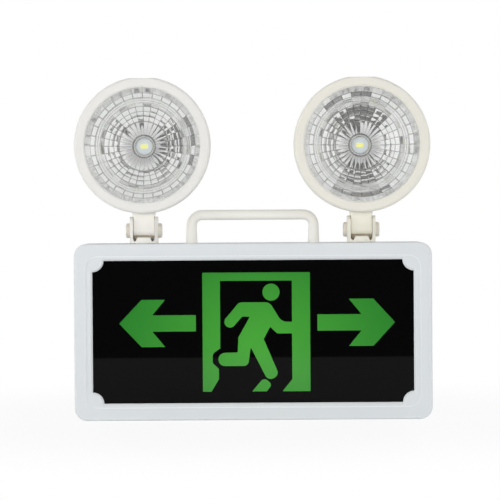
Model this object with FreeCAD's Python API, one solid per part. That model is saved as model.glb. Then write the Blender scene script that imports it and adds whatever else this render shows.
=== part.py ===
"""Emergency exit light: an illuminated exit sign box with two swivelling lamp heads and a carrying handle.

Millimetres, +Z up. The origin is at the middle of the box's underside, halfway through its depth. The sign
faces -Y, the wall side faces +Y and X runs along the box.
"""
import FreeCAD, Part
import math
import os
from FreeCAD import Vector

# ---------------------------------------------------------------- box
BOX_W = 280.0
BOX_H = 138.4
BOX_D = 48.0
BOX_CORNER_R = 10.0
WALL = 2.5
FRAME_D = 10.0
FRONT_Y = -BOX_D / 2
BACK_Y = BOX_D / 2
SPLIT_Y = FRONT_Y + FRAME_D
INNER_BACK_Y = BACK_Y - WALL
MID_Z = BOX_H / 2
FRAME_EDGE_R = 1.4
HOUSING_EDGE_R = 3.0
REVEAL = 0.6

# front frame: a flat outer band, a shallow step, a bevel and the window with a round ear in each corner
BAND_SIDE = 9.0
BAND_TOP = 10.0
STEP_D = 0.6
STEP_R = 9.5
WINDOW_SIDE = 14.3
WINDOW_TOP = 13.3
WINDOW_W = BOX_W - 2 * WINDOW_SIDE
WINDOW_H = BOX_H - 2 * WINDOW_TOP
EAR_R = 8.8
BEVEL_W = 1.4
BEVEL_D = 1.2
LAND = 0.6
PANEL_Y = FRONT_Y + STEP_D + BEVEL_D + LAND

# tongue of the rear housing inside the frame's skirt
TONGUE_L = 3.0
TONGUE_T = 1.3
TONGUE_GAP = 0.2

# corner bosses and the long screws that join frame and housing, one behind each ear
BOSS_R = 4.75
BOSS_CLEAR = 0.5
BOSS_WEB = 6.0
SCREW_R = 1.5
SCREW_HEAD_R = 2.8
SCREW_HEAD_H = 2.0
SCREW_CLEAR = 0.2
SCREW_BITE = 6.0

# sign stack behind the window
PANEL_T = 2.5
PANEL_LAP = 3.5
GUIDE_T = 3.0
BACKING_T = 1.2
STRIP_T = 1.0
STRIP_LED_H = 1.0
STRIP_LED_W = 2.8
STRIP_LED_L = 3.5
STRIP_LEDS = 12
STRIP_GAP = 0.1
STRIP_L = 228.0
CHANNEL_T = 1.5
GUIDE_Y = PANEL_Y + PANEL_T
BACKING_Y = GUIDE_Y + GUIDE_T
STACK_BACK_Y = BACKING_Y + BACKING_T
PRESS_POST_R = 2.5
PRESS_POST_X = (-55.0, 0.0, 55.0)
PRESS_POST_INSET = 17.0

# wall fixing and cable entry
KEYHOLE_INSET = 40.0
KEYHOLE_DROP = 34.4
KEYHOLE_HEAD_R = 4.5
KEYHOLE_SHANK_R = 2.25
KEYHOLE_RISE = 9.0
CABLE_INSET = 43.0
CABLE_Z = 62.0
CABLE_R = 4.0
GROMMET_NECK_R = 7.0
GROMMET_LIP_R = 9.5
GROMMET_LIP_T = 1.8

# main board, between the light's left end and the battery and above the terminal block
BOARD_W = 110.0
BOARD_H = 48.0
BOARD_Z0 = 46.0
BOARD_BATTERY_GAP = 10.0
BOARD_T = 1.6
BOARD_STANDOFF = 6.0
BOARD_POST_R = 3.0
BOARD_POST_INSET = 5.0
BOARD_SCREW_R = 1.1
BOARD_SCREW_HEAD_R = 2.4
BOARD_SCREW_HEAD_H = 1.6
BOARD_SCREW_BITE = 4.0
TRANSFORMER_INSET = 22.0
TRANSFORMER_W, TRANSFORMER_H, TRANSFORMER_D = 26.0, 22.0, 15.0
BOBBIN_STEP = 6.0
CAPACITOR_X = (47.0, 62.0, 75.0)
CAPACITOR_R = (6.3, 5.0, 5.0)
CAPACITOR_L = (17.0, 13.0, 13.0)
CAPACITOR_DROP = 12.0
SOCKETS = 4
SOCKET_START = 42.0
SOCKET_PITCH = 14.0
SOCKET_EDGE = 5.0
SOCKET_W, SOCKET_H, SOCKET_D = 10.0, 6.0, 7.0
SOCKET_WALL_T = 1.0

# battery pack: three cells side by side in one shrink wrap, under a strap
CELL_R = 7.25
CELL_L = 50.0
CELLS = 3
WRAP_T = 0.3
BATTERY_INSET = 52.0
BATTERY_Z0 = 24.0
CRADLE_T = 1.5
CRADLE_H = 8.0
STRAP_W = 12.0
STRAP_T = 1.2
STRAP_FOOT = 8.0
FIT_GAP = 0.2

# mains terminal block
TERMINAL_INSET = 40.0
TERMINAL_Z = 26.0
TERMINAL_PITCH = 10.0
TERMINAL_POLES = 3
TERMINAL_H = 16.0
TERMINAL_D = 17.0
TERMINAL_WELL_R = 2.6
TERMINAL_WELL_L = 8.0
TERMINAL_MOUTH_R = 2.0
TERMINAL_MOUTH_L = 6.0
TERMINAL_SCREW_R = 2.4
TERMINAL_SCREW_L = 4.0
TERMINAL_SCREW_SINK = 4.0
DRIVER_SLOT_W = 0.8
DRIVER_SLOT_D = 0.8

# indicator board at the right-hand end, with the test switch and three lamps
SIDE_BOARD_T = 1.6
SIDE_BOARD_D = 17.0
SIDE_BOARD_Z0, SIDE_BOARD_Z1 = 38.0, 92.0
SIDE_BOARD_GAP = 6.5
SIDE_Y = 9.0
LAMP_R = 2.5
LAMP_FLANGE_R = 2.9
LAMP_FLANGE_T = 1.0
LAMP_DOME_R = 1.5
LAMP_Z = (50.0, 59.0, 68.0)
LAMP_HOLE_GAP = 0.15
FLUSH = 0.2
BUTTON_Z = 79.0
BUTTON_R = 4.0
BUTTON_GAP = 0.2
BUTTON_FLANGE_R = 5.25
BUTTON_FLANGE_T = 1.0
BUTTON_TRAVEL = 1.0
BUTTON_DISH_R = 12.0
BUTTON_DISH_D = 0.4
SWITCH_SIDE = 6.0
SWITCH_H = 3.5
PLUNGER_R = 1.65
PLUNGER_GAP = 0.2
PLUNGER_RISE = 0.9
PLUNGER_WELL_FLOOR = 1.0

# carrying handle
HANDLE_HEAD_GAP = 37.6
HANDLE_RISE = 26.1
HANDLE_R = 4.0
HANDLE_FOOT_R = 4.5
HANDLE_BEND_R = 8.3
HANDLE_SEAT = 12.0
HANDLE_GAP = 0.2
SOCKET_WALL = 2.0
SOCKET_FLOOR = 2.2

# lamp heads: turret, pivot, shell, rim, lens, reflector and emitter
HEAD_INSET = 54.2
PIVOT_RISE = 10.1
RIM_RISE = 13.5
RIM_R = 53.3
RIM_FACE_W = 8.1
RIM_FLANGE_T = 2.2
RIM_D = 14.0
RIM_SKIRT_T = 2.3
RIM_FLAT_W = 21.0
RIM_LIP_R = 2.4
RIM_FRONT_Y = -26.0
SHELL_T = 2.2
SHELL_BACK_Y = 20.0
SHELL_BACK_INSET = 29.0
SHELL_BULGE = 7.5
SHELL_GAP = 0.3
LENS_T = 2.0
LENS_GAP = 0.3

TURRET_R = 12.5
TURRET_HALF_W = 11.1
EAR_TOP_R = 11.0
SLOT_HALF_W = 8.6
SLOT_CORNER_R = 3.0
NECK_GAP = 0.3
NECK_HALF_W = SLOT_HALF_W - NECK_GAP
NECK_SHOULDER_W = 18.0
NECK_SHOULDER_R = 11.6
NECK_HALF_D = 4.8
TURRET_FLOOR = 1.1
SADDLE_GAP = 0.6
SADDLE_FOOT_W = 13.6
SADDLE_TOP_W = 10.0
SADDLE_EDGE_R = 1.2
STOP_GAP = 1.2
STOP_T = 2.2
STOP_TOP = -3.2
NECK_ARCH_R = 8.0
NECK_ARCH_H = 1.0
NECK_WALL = 1.9
HEEL_Y = 11.0
STEM_R = 9.0
STEM_BORE_R = 6.8
STEM_GAP = 0.1
STEM_L = 9.0
TURRET_LIFT = 0.2
WIRE_HOLE_R = 1.6
WIRE_HOLE_X = 4.6
WASHER_T = 1.0
WASHER_R = 11.0
WASHER_ROOM = 0.5
CLIP_T = 1.2
CLIP_R = 10.8
CLIP_GROOVE = 1.0
CLIP_MOUTH = 9.0
PIVOT_R = 2.5
PIVOT_GAP = 0.08
KNOB_R = 5.8
KNOB_H = 3.2
KNOB_EDGE_R = 1.4

# reflector: a parabola cut into flat facets, with a fluted cone round the emitter
REFLECTOR_T = 1.3
REFLECTOR_FLANGE_T = 1.3
REFLECTOR_MOUTH_INSET = 0.6
REFLECTOR_DEPTH = 29.9
REFLECTOR_HOLE_R = 6.6
REFLECTOR_COLLAR = 1.6
FLUTES = 32
FLUTE_INNER_R = 8.6
FLUTE_OUTER_R = 20.0
FLUTE_DEPTH = 0.55
PILLOW_ROWS = 3
PILLOW_ROW_W = 3.7
RING_OUTER_R = 38.0
CELL_OUTER_R = 41.3
LED_BOARD_R = 16.0
LED_BOARD_T = 1.6
LED_BOARD_GAP = 0.3
LED_POST_X = 12.0
LED_POST_R = 3.2
LED_SCREW_HEAD_H = 0.9
EMITTER_W = 5.7
EMITTER_D = 3.0
EMITTER_T = 0.9

BOX_TOP = BOX_H
HEAD_X = BOX_W / 2 - HEAD_INSET
HANDLE_X = HEAD_X - HANDLE_HEAD_GAP
BATTERY_X = BOX_W / 2 - BATTERY_INSET
TERMINAL_X = TERMINAL_INSET - BOX_W / 2
CABLE_X = CABLE_INSET - BOX_W / 2
KEYHOLE_X = BOX_W / 2 - KEYHOLE_INSET
KEYHOLE_Z = BOX_TOP - KEYHOLE_DROP
BOARD_X1 = BATTERY_X - CELL_L / 2 - WRAP_T - FIT_GAP - CRADLE_T - BOARD_BATTERY_GAP
BOARD_X0 = BOARD_X1 - BOARD_W
BOARD_Z1 = BOARD_Z0 + BOARD_H
PIVOT_Z = BOX_TOP + PIVOT_RISE
HEAD_RISE = RIM_RISE + RIM_R
RIM_BORE_R = RIM_R - RIM_FACE_W
SHELL_BACK_R = RIM_R - SHELL_BACK_INSET
REFLECTOR_MOUTH_R = RIM_BORE_R - REFLECTOR_MOUTH_INSET
REFLECTOR_FOCUS = (REFLECTOR_MOUTH_R**2 - FLUTE_INNER_R**2) / (4 * REFLECTOR_DEPTH)
RIM_BACK_Y = RIM_FRONT_Y + RIM_D
LENS_Y = RIM_FRONT_Y + RIM_FLANGE_T
LENS_R = RIM_R - RIM_SKIRT_T - LENS_GAP
REFLECTOR_Y = LENS_Y + LENS_T
BOWL_Y = REFLECTOR_Y + REFLECTOR_FLANGE_T
SHELL_INSERT_R = RIM_R - RIM_SKIRT_T - SHELL_GAP

X_AXIS = Vector(1, 0, 0)
Y_AXIS = Vector(0, 1, 0)
Z_AXIS = Vector(0, 0, 1)
ORIGIN = Vector(0, 0, 0)
THROUGH = 1.0


# ---------------------------------------------------------------- shared forms
def block(x0, x1, y0, y1, z0, z1):
    """A plain block between two corners."""
    return Part.makeBox(x1 - x0, y1 - y0, z1 - z0, Vector(x0, y0, z0))


def rod(radius, start, length, direction):
    """A round bar from a start point."""
    return Part.makeCylinder(radius, length, Vector(*start), direction)


def joined(*solids):
    """One solid from several that overlap."""
    first = solids[0].fuse(list(solids[1:]))
    return first.removeSplitter()


def less(solid, *tools):
    """A solid with several cutters taken away."""
    return solid.cut(list(tools))


def rounded_outline(width, height, radius, y):
    """A rounded rectangle in a plane of constant Y, centred on the box."""
    hw, hh = width / 2, height / 2
    turn = radius * (1 - math.sqrt(0.5))

    def at(x, z):
        return Vector(x, y, MID_Z + z)

    edges = []
    for sx, sz in ((1, 1), (-1, 1), (-1, -1), (1, -1)):
        on_side = at(sx * hw, sz * (hh - radius))
        on_top = at(sx * (hw - radius), sz * hh)
        middle = at(sx * (hw - turn), sz * (hh - turn))
        first, last = (on_side, on_top) if sx * sz > 0 else (on_top, on_side)
        edges.append((first, middle, last))
    parts = []
    for n, (first, middle, last) in enumerate(edges):
        parts.append(Part.Arc(first, middle, last).toShape())
        parts.append(Part.LineSegment(last, edges[(n + 1) % 4][0]).toShape())
    return Part.Wire(parts)


def rounded_block(width, height, radius, y0, y1):
    """A rounded rectangle carried from y0 to y1."""
    return Part.Face(rounded_outline(width, height, radius, y0)).extrude(Vector(0, y1 - y0, 0))


def eared_outline(width, height, centre_x, centre_z, ear_r, y):
    """A rectangle with a round bite out of each corner, the bites centred at (centre_x, centre_z)."""
    hw, hh = width / 2, height / 2
    side_z = centre_z - math.sqrt(ear_r**2 - (hw - centre_x) ** 2)
    top_x = centre_x - math.sqrt(ear_r**2 - (hh - centre_z) ** 2)
    deep = ear_r * math.sqrt(0.5)

    def at(x, z):
        return Vector(x, y, MID_Z + z)

    corners = []
    for sx, sz in ((1, 1), (-1, 1), (-1, -1), (1, -1)):
        on_side = at(sx * hw, sz * side_z)
        on_top = at(sx * top_x, sz * hh)
        middle = at(sx * (centre_x - deep), sz * (centre_z - deep))
        corners.append((on_side, middle, on_top) if sx * sz > 0 else (on_top, middle, on_side))
    parts = []
    for n, (first, middle, last) in enumerate(corners):
        parts.append(Part.Arc(first, middle, last).toShape())
        parts.append(Part.LineSegment(last, corners[(n + 1) % 4][0]).toShape())
    return Part.Wire(parts)


def window_outline(grow, y):
    """The sign window, grown outwards all round by grow."""
    return eared_outline(
        WINDOW_W + 2 * grow, WINDOW_H + 2 * grow, WINDOW_W / 2, WINDOW_H / 2, EAR_R - grow, y
    )


def sheet_outline(lap, y):
    """A sheet of the sign stack: it laps behind the window and is notched round the corner bosses."""
    return eared_outline(
        WINDOW_W + 2 * lap, WINDOW_H + 2 * lap, WINDOW_W / 2, WINDOW_H / 2, BOSS_R + BOSS_CLEAR, y
    )


def turned(points):
    """A solid turned about the Y axis from (radius, y) points.

    A pair of points is an arc that passes through the first of them and ends at the second.
    """
    vectors = []
    edges = []
    for item in points:
        if isinstance(item[0], tuple):
            middle, end = (Vector(r, y, 0) for r, y in item)
            edges.append(Part.Arc(vectors[-1], middle, end).toShape())
        else:
            end = Vector(item[0], item[1], 0)
            if vectors:
                edges.append(Part.LineSegment(vectors[-1], end).toShape())
        vectors.append(end)
    edges.append(Part.LineSegment(vectors[-1], vectors[0]).toShape())
    return Part.Face(Part.Wire(edges)).revolve(ORIGIN, Y_AXIS, 360)


def edges_at_y(solid, y):
    """The edges that lie wholly in the plane of that Y."""
    return [e for e in solid.Edges if abs(e.BoundBox.YMin - y) < 1e-6 and abs(e.BoundBox.YMax - y) < 1e-6]


def end_rim(bar, x):
    """The round edge of an X-wise bar's end at that x."""
    return [e for e in bar.Edges if abs(e.BoundBox.XMin - x) < 1e-6 and e.BoundBox.YLength > THROUGH]


def pan_screw(start, direction, shank_r, shank_l, head_r, head_h):
    """A pan-head screw: start is under the head and the shank runs along direction."""
    shank = Part.makeCylinder(shank_r, shank_l, start, direction)
    head = Part.makeCylinder(head_r, head_h, start - direction * head_h, direction)
    return joined(shank, head)


# ---------------------------------------------------------------- box shell
def boss_centres():
    """The four corner screw places, behind the window's ears."""
    return [(sx * WINDOW_W / 2, MID_Z + sz * WINDOW_H / 2) for sx in (-1, 1) for sz in (-1, 1)]


def front_frame():
    """The moulded front: band, step, bevelled window with ears, skirt, bosses and light-strip channels."""
    skin = rounded_block(BOX_W, BOX_H, BOX_CORNER_R, FRONT_Y, SPLIT_Y)
    skin = skin.makeFillet(FRAME_EDGE_R, edges_at_y(skin, FRONT_Y))
    cavity = rounded_block(BOX_W - 2 * WALL, BOX_H - 2 * WALL, BOX_CORNER_R - WALL, PANEL_Y, SPLIT_Y)
    step_y = FRONT_Y + STEP_D
    step = rounded_block(BOX_W - 2 * BAND_SIDE, BOX_H - 2 * BAND_TOP, STEP_R, FRONT_Y, step_y)
    bevel_ends = [window_outline(BEVEL_W, step_y), window_outline(0, step_y + BEVEL_D)]
    bevel = Part.makeLoft(bevel_ends, True, True)
    window = Part.Face(window_outline(0, FRONT_Y)).extrude(Vector(0, FRAME_D, 0))
    frame = less(skin, cavity, step, bevel, window)
    bosses = [rod(BOSS_R, (x, PANEL_Y, z), SPLIT_Y - PANEL_Y, Y_AXIS) for x, z in boss_centres()]
    channel_z = WINDOW_H / 2 + PANEL_LAP + STRIP_GAP
    channels = []
    for side in (-1, 1):
        near, far = sorted((MID_Z + side * channel_z, MID_Z + side * (channel_z + CHANNEL_T)))
        channels.append(block(-STRIP_L / 2, STRIP_L / 2, PANEL_Y, BACKING_Y, near, far))
    frame = joined(frame, *bosses, *channels)
    pilots = [rod(SCREW_R, (x, SPLIT_Y - SCREW_BITE, z), SCREW_BITE, Y_AXIS) for x, z in boss_centres()]
    return less(frame, *pilots)


def keyhole(x):
    """Cutter for one keyhole: the screw head enters the round hole and its shank rises in the slot."""
    y0 = INNER_BACK_Y - THROUGH
    depth = WALL + 2 * THROUGH
    head = rod(KEYHOLE_HEAD_R, (x, y0, KEYHOLE_Z), depth, Y_AXIS)
    end = rod(KEYHOLE_SHANK_R, (x, y0, KEYHOLE_Z + KEYHOLE_RISE), depth, Y_AXIS)
    slot = block(
        x - KEYHOLE_SHANK_R, x + KEYHOLE_SHANK_R, y0, y0 + depth, KEYHOLE_Z, KEYHOLE_Z + KEYHOLE_RISE
    )
    return joined(head, end, slot)


def board_posts():
    """Centres of the four posts under the main board."""
    xs = (BOARD_X0 + BOARD_POST_INSET, BOARD_X1 - BOARD_POST_INSET)
    zs = (BOARD_Z0 + BOARD_POST_INSET, BOARD_Z1 - BOARD_POST_INSET)
    return [(x, z) for x in xs for z in zs]


def battery_top():
    """Height of the battery pack's upper edge."""
    return BATTERY_Z0 + CELLS * 2 * CELL_R + 2 * WRAP_T


def strap_posts():
    """Heights of the two strap posts, below and above the pack."""
    return BATTERY_Z0 - STRAP_FOOT / 2 - STRAP_T, battery_top() + STRAP_FOOT / 2 + STRAP_T


def strap_seat_y():
    """Where the strap's feet sit."""
    return INNER_BACK_Y - CELL_R


def side_board_x():
    """The indicator board's outer face."""
    return BOX_W / 2 - WALL - SIDE_BOARD_GAP


def housing_posts():
    """Every post that stands on the inside of the rear wall, and its screw hole."""
    posts, holes = [], []
    for x, z in board_posts():
        top = INNER_BACK_Y - BOARD_STANDOFF
        posts.append(rod(BOARD_POST_R, (x, top, z), BOARD_STANDOFF + THROUGH, Y_AXIS))
        holes.append(rod(BOARD_SCREW_R, (x, top - THROUGH, z), BOARD_SCREW_BITE + THROUGH, Y_AXIS))
    for z in strap_posts():
        top = strap_seat_y()
        posts.append(rod(BOARD_POST_R, (BATTERY_X, top, z), INNER_BACK_Y - top + THROUGH, Y_AXIS))
        holes.append(rod(BOARD_SCREW_R, (BATTERY_X, top - THROUGH, z), BOARD_SCREW_BITE + THROUGH, Y_AXIS))
    length = INNER_BACK_Y - STACK_BACK_Y + THROUGH
    for x in PRESS_POST_X:
        for z in (PRESS_POST_INSET, BOX_H - PRESS_POST_INSET):
            posts.append(rod(PRESS_POST_R, (x, STACK_BACK_Y, z), length, Y_AXIS))
    return posts, holes


def housing_ribs():
    """Battery cradle walls and the slot that holds the indicator board."""
    half_l = CELL_L / 2 + WRAP_T + FIT_GAP
    back = INNER_BACK_Y + THROUGH
    ribs = []
    for side in (-1, 1):
        near, far = sorted((BATTERY_X + side * half_l, BATTERY_X + side * (half_l + CRADLE_T)))
        ribs.append(block(near, far, INNER_BACK_Y - CRADLE_H, back, BATTERY_Z0, battery_top()))
    face = side_board_x()
    for x0 in (face + FIT_GAP, face - SIDE_BOARD_T - FIT_GAP - CRADLE_T):
        ribs.append(
            block(x0, x0 + CRADLE_T, INNER_BACK_Y - CRADLE_H / 2, back, SIDE_BOARD_Z0, SIDE_BOARD_Z1)
        )
    return ribs


def housing_bosses():
    """Corner boss tubes for the long screws, each tied to the nearest side wall by a web."""
    tubes, bores = [], []
    for x, z in boss_centres():
        side = math.copysign(1, x)
        wall_x = side * (BOX_W / 2 - WALL / 2)
        near, far = sorted((x, wall_x))
        tubes.append(rod(BOSS_R, (x, SPLIT_Y, z), INNER_BACK_Y - SPLIT_Y + THROUGH, Y_AXIS))
        tubes.append(
            block(near, far, SPLIT_Y + BOSS_WEB, INNER_BACK_Y + THROUGH, z - CRADLE_T / 2, z + CRADLE_T / 2)
        )
        bores.append(rod(SCREW_R + SCREW_CLEAR, (x, SPLIT_Y - THROUGH, z), BOX_D, Y_AXIS))
        bores.append(
            rod(SCREW_HEAD_R + SCREW_CLEAR, (x, SPLIT_Y + SCREW_BITE, z), BOX_D, Y_AXIS)
        )
    return tubes, bores


def handle_sockets():
    """Sockets under the top wall that take the handle's feet, and their bores."""
    bosses, bores = [], []
    seat_z = BOX_TOP - HANDLE_SEAT
    floor_z = seat_z - SOCKET_FLOOR
    inner = HANDLE_FOOT_R + HANDLE_GAP
    for x in (-HANDLE_X, HANDLE_X):
        bosses.append(
            rod(inner + SOCKET_WALL, (x, 0, floor_z), HANDLE_SEAT + SOCKET_FLOOR - WALL / 2, Z_AXIS)
        )
        bores.append(rod(inner, (x, 0, seat_z), HANDLE_SEAT + THROUGH, Z_AXIS))
        bores.append(
            rod(SCREW_R + SCREW_CLEAR, (x, 0, floor_z - THROUGH), SOCKET_FLOOR + 2 * THROUGH, Z_AXIS)
        )
    return bosses, bores


def housing_layer(inset, y0, y1):
    """The box's outline, set in by inset all round and carried from y0 to y1."""
    return rounded_block(BOX_W - 2 * inset, BOX_H - 2 * inset, BOX_CORNER_R - inset, y0, y1)


def rear_housing():
    """The moulded rear tray: walls, tongue, posts, bosses, sockets and every opening in its walls."""
    tray = housing_layer(0, SPLIT_Y, BACK_Y)
    tray = tray.makeFillet(HOUSING_EDGE_R, edges_at_y(tray, BACK_Y))
    cavity = housing_layer(WALL, SPLIT_Y, INNER_BACK_Y)
    reveal = less(
        housing_layer(-THROUGH, SPLIT_Y, SPLIT_Y + REVEAL), housing_layer(REVEAL, SPLIT_Y, SPLIT_Y + REVEAL)
    )
    tray = less(tray, cavity, reveal)
    set_in = WALL + TONGUE_GAP
    tongue_end = SPLIT_Y + TONGUE_L
    tongue = joined(
        housing_layer(set_in, SPLIT_Y - TONGUE_L, tongue_end),
        housing_layer(WALL / 2, SPLIT_Y + REVEAL, tongue_end),
    )
    hollow = housing_layer(set_in + TONGUE_T, SPLIT_Y - TONGUE_L, tongue_end)
    posts, holes = housing_posts()
    tubes, bores = housing_bosses()
    sockets, socket_bores = handle_sockets()
    body = joined(tray, less(tongue, hollow), *posts, *tubes, *sockets, *housing_ribs())
    wall_x = BOX_W / 2 - WALL - 2 * THROUGH
    reach = WALL + 4 * THROUGH
    drill = WALL + 2 * THROUGH
    openings = [keyhole(-KEYHOLE_X), keyhole(KEYHOLE_X)]
    openings.append(rod(GROMMET_NECK_R, (CABLE_X, INNER_BACK_Y - THROUGH, CABLE_Z), drill, Y_AXIS))
    for x in (-HEAD_X, HEAD_X):
        openings.append(rod(STEM_R + STEM_GAP, (x, 0, BOX_TOP - WALL - THROUGH), drill, Z_AXIS))
        openings.append(rod(WASHER_R + WASHER_ROOM, (x, 0, BOX_TOP - WALL - STEM_L), STEM_L, Z_AXIS))
    for z in LAMP_Z:
        openings.append(rod(LAMP_R + LAMP_HOLE_GAP, (wall_x, SIDE_Y, z), reach, X_AXIS))
    openings.append(rod(BUTTON_R + BUTTON_GAP, (wall_x, SIDE_Y, BUTTON_Z), reach, X_AXIS))
    return less(body, *openings, *holes, *bores, *socket_bores)


def frame_screws():
    """Four long screws from the back into the frame's bosses."""
    start_y = SPLIT_Y + SCREW_BITE
    length = 2 * SCREW_BITE - SCREW_CLEAR
    thin = SCREW_R - SCREW_CLEAR / 4
    return [
        pan_screw(Vector(x, start_y, z), -Y_AXIS, thin, length, SCREW_HEAD_R, SCREW_HEAD_H)
        for x, z in boss_centres()
    ]


# ---------------------------------------------------------------- sign stack
def sign_sheet(y, thickness, lap_top):
    """One notched sheet of the stack; lap_top is how far it passes the window above and below."""
    sheet = Part.Face(sheet_outline(PANEL_LAP, y)).extrude(Vector(0, thickness, 0))
    trim = PANEL_LAP - lap_top
    if trim <= 0:
        return sheet
    half = WINDOW_H / 2 + lap_top
    return sheet.common(block(-BOX_W, BOX_W, y, y + thickness, MID_Z - half, MID_Z + half))


def strip_place(side):
    """The strip's face towards the light guide, above (side 1) or below it (side -1)."""
    return MID_Z + side * (WINDOW_H / 2 + PANEL_LAP - STRIP_T)


def guide_lap():
    """How far the light guide passes the window: up to the lamps of the strips."""
    return PANEL_LAP - STRIP_T - STRIP_LED_H - STRIP_GAP


def backlight_strip(side):
    """A long narrow circuit strip that lies in the frame's channel."""
    face = strip_place(side)
    near, far = sorted((face, face + side * STRIP_T))
    return block(-STRIP_L / 2, STRIP_L / 2, GUIDE_Y, GUIDE_Y + GUIDE_T, near, far)


def backlight_leds():
    """The little lamps on both strips, facing the light guide's edges."""
    pitch = STRIP_L / STRIP_LEDS
    y0 = GUIDE_Y + (GUIDE_T - STRIP_LED_W) / 2
    lamps = []
    for side in (-1, 1):
        face = strip_place(side)
        near, far = sorted((face, face - side * STRIP_LED_H))
        for n in range(STRIP_LEDS):
            x = (n + 0.5) * pitch - STRIP_L / 2
            lamps.append(
                block(x - STRIP_LED_L / 2, x + STRIP_LED_L / 2, y0, y0 + STRIP_LED_W, near, far)
            )
    return lamps


# ---------------------------------------------------------------- inside the box
def main_board():
    """The charger and changeover board, drilled for its four screws."""
    y0 = INNER_BACK_Y - BOARD_STANDOFF - BOARD_T
    board = block(BOARD_X0, BOARD_X1, y0, y0 + BOARD_T, BOARD_Z0, BOARD_Z1)
    holes = [
        rod(BOARD_SCREW_R + SCREW_CLEAR, (x, y0 - THROUGH, z), BOARD_T + 2 * THROUGH, Y_AXIS)
        for x, z in board_posts()
    ]
    return less(board, *holes)


def board_face_y():
    """The face of the main board that carries its parts."""
    return INNER_BACK_Y - BOARD_STANDOFF - BOARD_T


def transformer():
    """Laminated core with its wound bobbin."""
    face = board_face_y()
    x = BOARD_X0 + TRANSFORMER_INSET
    z = BOARD_Z0 + BOARD_H / 2
    half_w, half_h = TRANSFORMER_W / 2, TRANSFORMER_H / 2
    core = block(x - half_w, x + half_w, face - TRANSFORMER_D, face, z - half_h, z + half_h)
    half_w, half_h = half_w - BOBBIN_STEP, half_h + BOBBIN_STEP / 2
    front = face - TRANSFORMER_D - BOBBIN_STEP / 2
    bobbin = block(x - half_w, x + half_w, front, face - BOBBIN_STEP / 2, z - half_h, z + half_h)
    return joined(core, bobbin)


def capacitors():
    """Three round electrolytic capacitors."""
    face = board_face_y()
    z = BOARD_Z1 - CAPACITOR_DROP
    return [
        rod(r, (BOARD_X0 + x, face - h, z), h, Y_AXIS)
        for x, r, h in zip(CAPACITOR_X, CAPACITOR_R, CAPACITOR_L)
    ]


def wire_sockets():
    """Four open-topped wire headers along the board's lower edge."""
    face = board_face_y()
    sockets = []
    z0 = BOARD_Z0 + SOCKET_EDGE
    half = SOCKET_W / 2
    t = SOCKET_WALL_T
    for n in range(SOCKETS):
        x = BOARD_X0 + SOCKET_START + n * SOCKET_PITCH
        body = block(x - half, x + half, face - SOCKET_D, face, z0, z0 + SOCKET_H)
        well = block(x - half + t, x + half - t, face - SOCKET_D, face - t, z0 + t, z0 + SOCKET_H - t)
        sockets.append(less(body, well))
    return sockets


def board_screws():
    """Screws that hold the main board down."""
    face = board_face_y()
    thin = BOARD_SCREW_R - SCREW_CLEAR / 4
    length = BOARD_T + BOARD_SCREW_BITE - SCREW_CLEAR
    return [
        pan_screw(Vector(x, face, z), Y_AXIS, thin, length, BOARD_SCREW_HEAD_R, BOARD_SCREW_HEAD_H)
        for x, z in board_posts()
    ]


def battery_pack():
    """Three cells in a shrink wrap, as one closed pack."""
    r = CELL_R
    y = INNER_BACK_Y - FIT_GAP - WRAP_T - r
    x0 = BATTERY_X - CELL_L / 2
    cells = [
        rod(r + WRAP_T, (x0 - WRAP_T, y, BATTERY_Z0 + WRAP_T + r + n * 2 * r), CELL_L + 2 * WRAP_T, X_AXIS)
        for n in range(CELLS)
    ]
    first = BATTERY_Z0 + WRAP_T + r
    web = block(
        x0 - WRAP_T, x0 + CELL_L + WRAP_T, y - r / 2, y + r / 2, first, first + (CELLS - 1) * 2 * r
    )
    return joined(*cells, web)


def battery_strap():
    """A pressed strap over the pack with a foot on each post."""
    low, high = strap_posts()
    seat = strap_seat_y()
    front = INNER_BACK_Y - 2 * FIT_GAP - 2 * (CELL_R + WRAP_T) - STRAP_T
    x0, x1 = BATTERY_X - STRAP_W / 2, BATTERY_X + STRAP_W / 2
    inner_low, inner_high = BATTERY_Z0 - FIT_GAP, battery_top() + FIT_GAP
    half = STRAP_FOOT / 2
    pieces = [
        block(x0, x1, front, front + STRAP_T, inner_low - STRAP_T, inner_high + STRAP_T),
        block(x0, x1, front, seat, inner_low - STRAP_T, inner_low),
        block(x0, x1, front, seat, inner_high, inner_high + STRAP_T),
        block(x0, x1, seat - STRAP_T, seat, low - half, inner_low),
        block(x0, x1, seat - STRAP_T, seat, inner_high, high + half),
    ]
    strap = joined(*pieces)
    hole_y = seat - STRAP_T - THROUGH
    holes = [
        rod(BOARD_SCREW_R + SCREW_CLEAR, (BATTERY_X, hole_y, z), STRAP_T + 2 * THROUGH, Y_AXIS)
        for z in (low, high)
    ]
    return less(strap, *holes)


def strap_screws():
    """The strap's two screws."""
    thin = BOARD_SCREW_R - SCREW_CLEAR / 4
    length = STRAP_T + BOARD_SCREW_BITE - SCREW_CLEAR
    start_y = strap_seat_y() - STRAP_T
    return [
        pan_screw(
            Vector(BATTERY_X, start_y, z), Y_AXIS, thin, length, BOARD_SCREW_HEAD_R, BOARD_SCREW_HEAD_H
        )
        for z in strap_posts()
    ]


def terminal_centres():
    """X of each pole of the terminal block."""
    first = TERMINAL_X - TERMINAL_PITCH * (TERMINAL_POLES - 1) / 2
    return [first + n * TERMINAL_PITCH for n in range(TERMINAL_POLES)]


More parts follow.
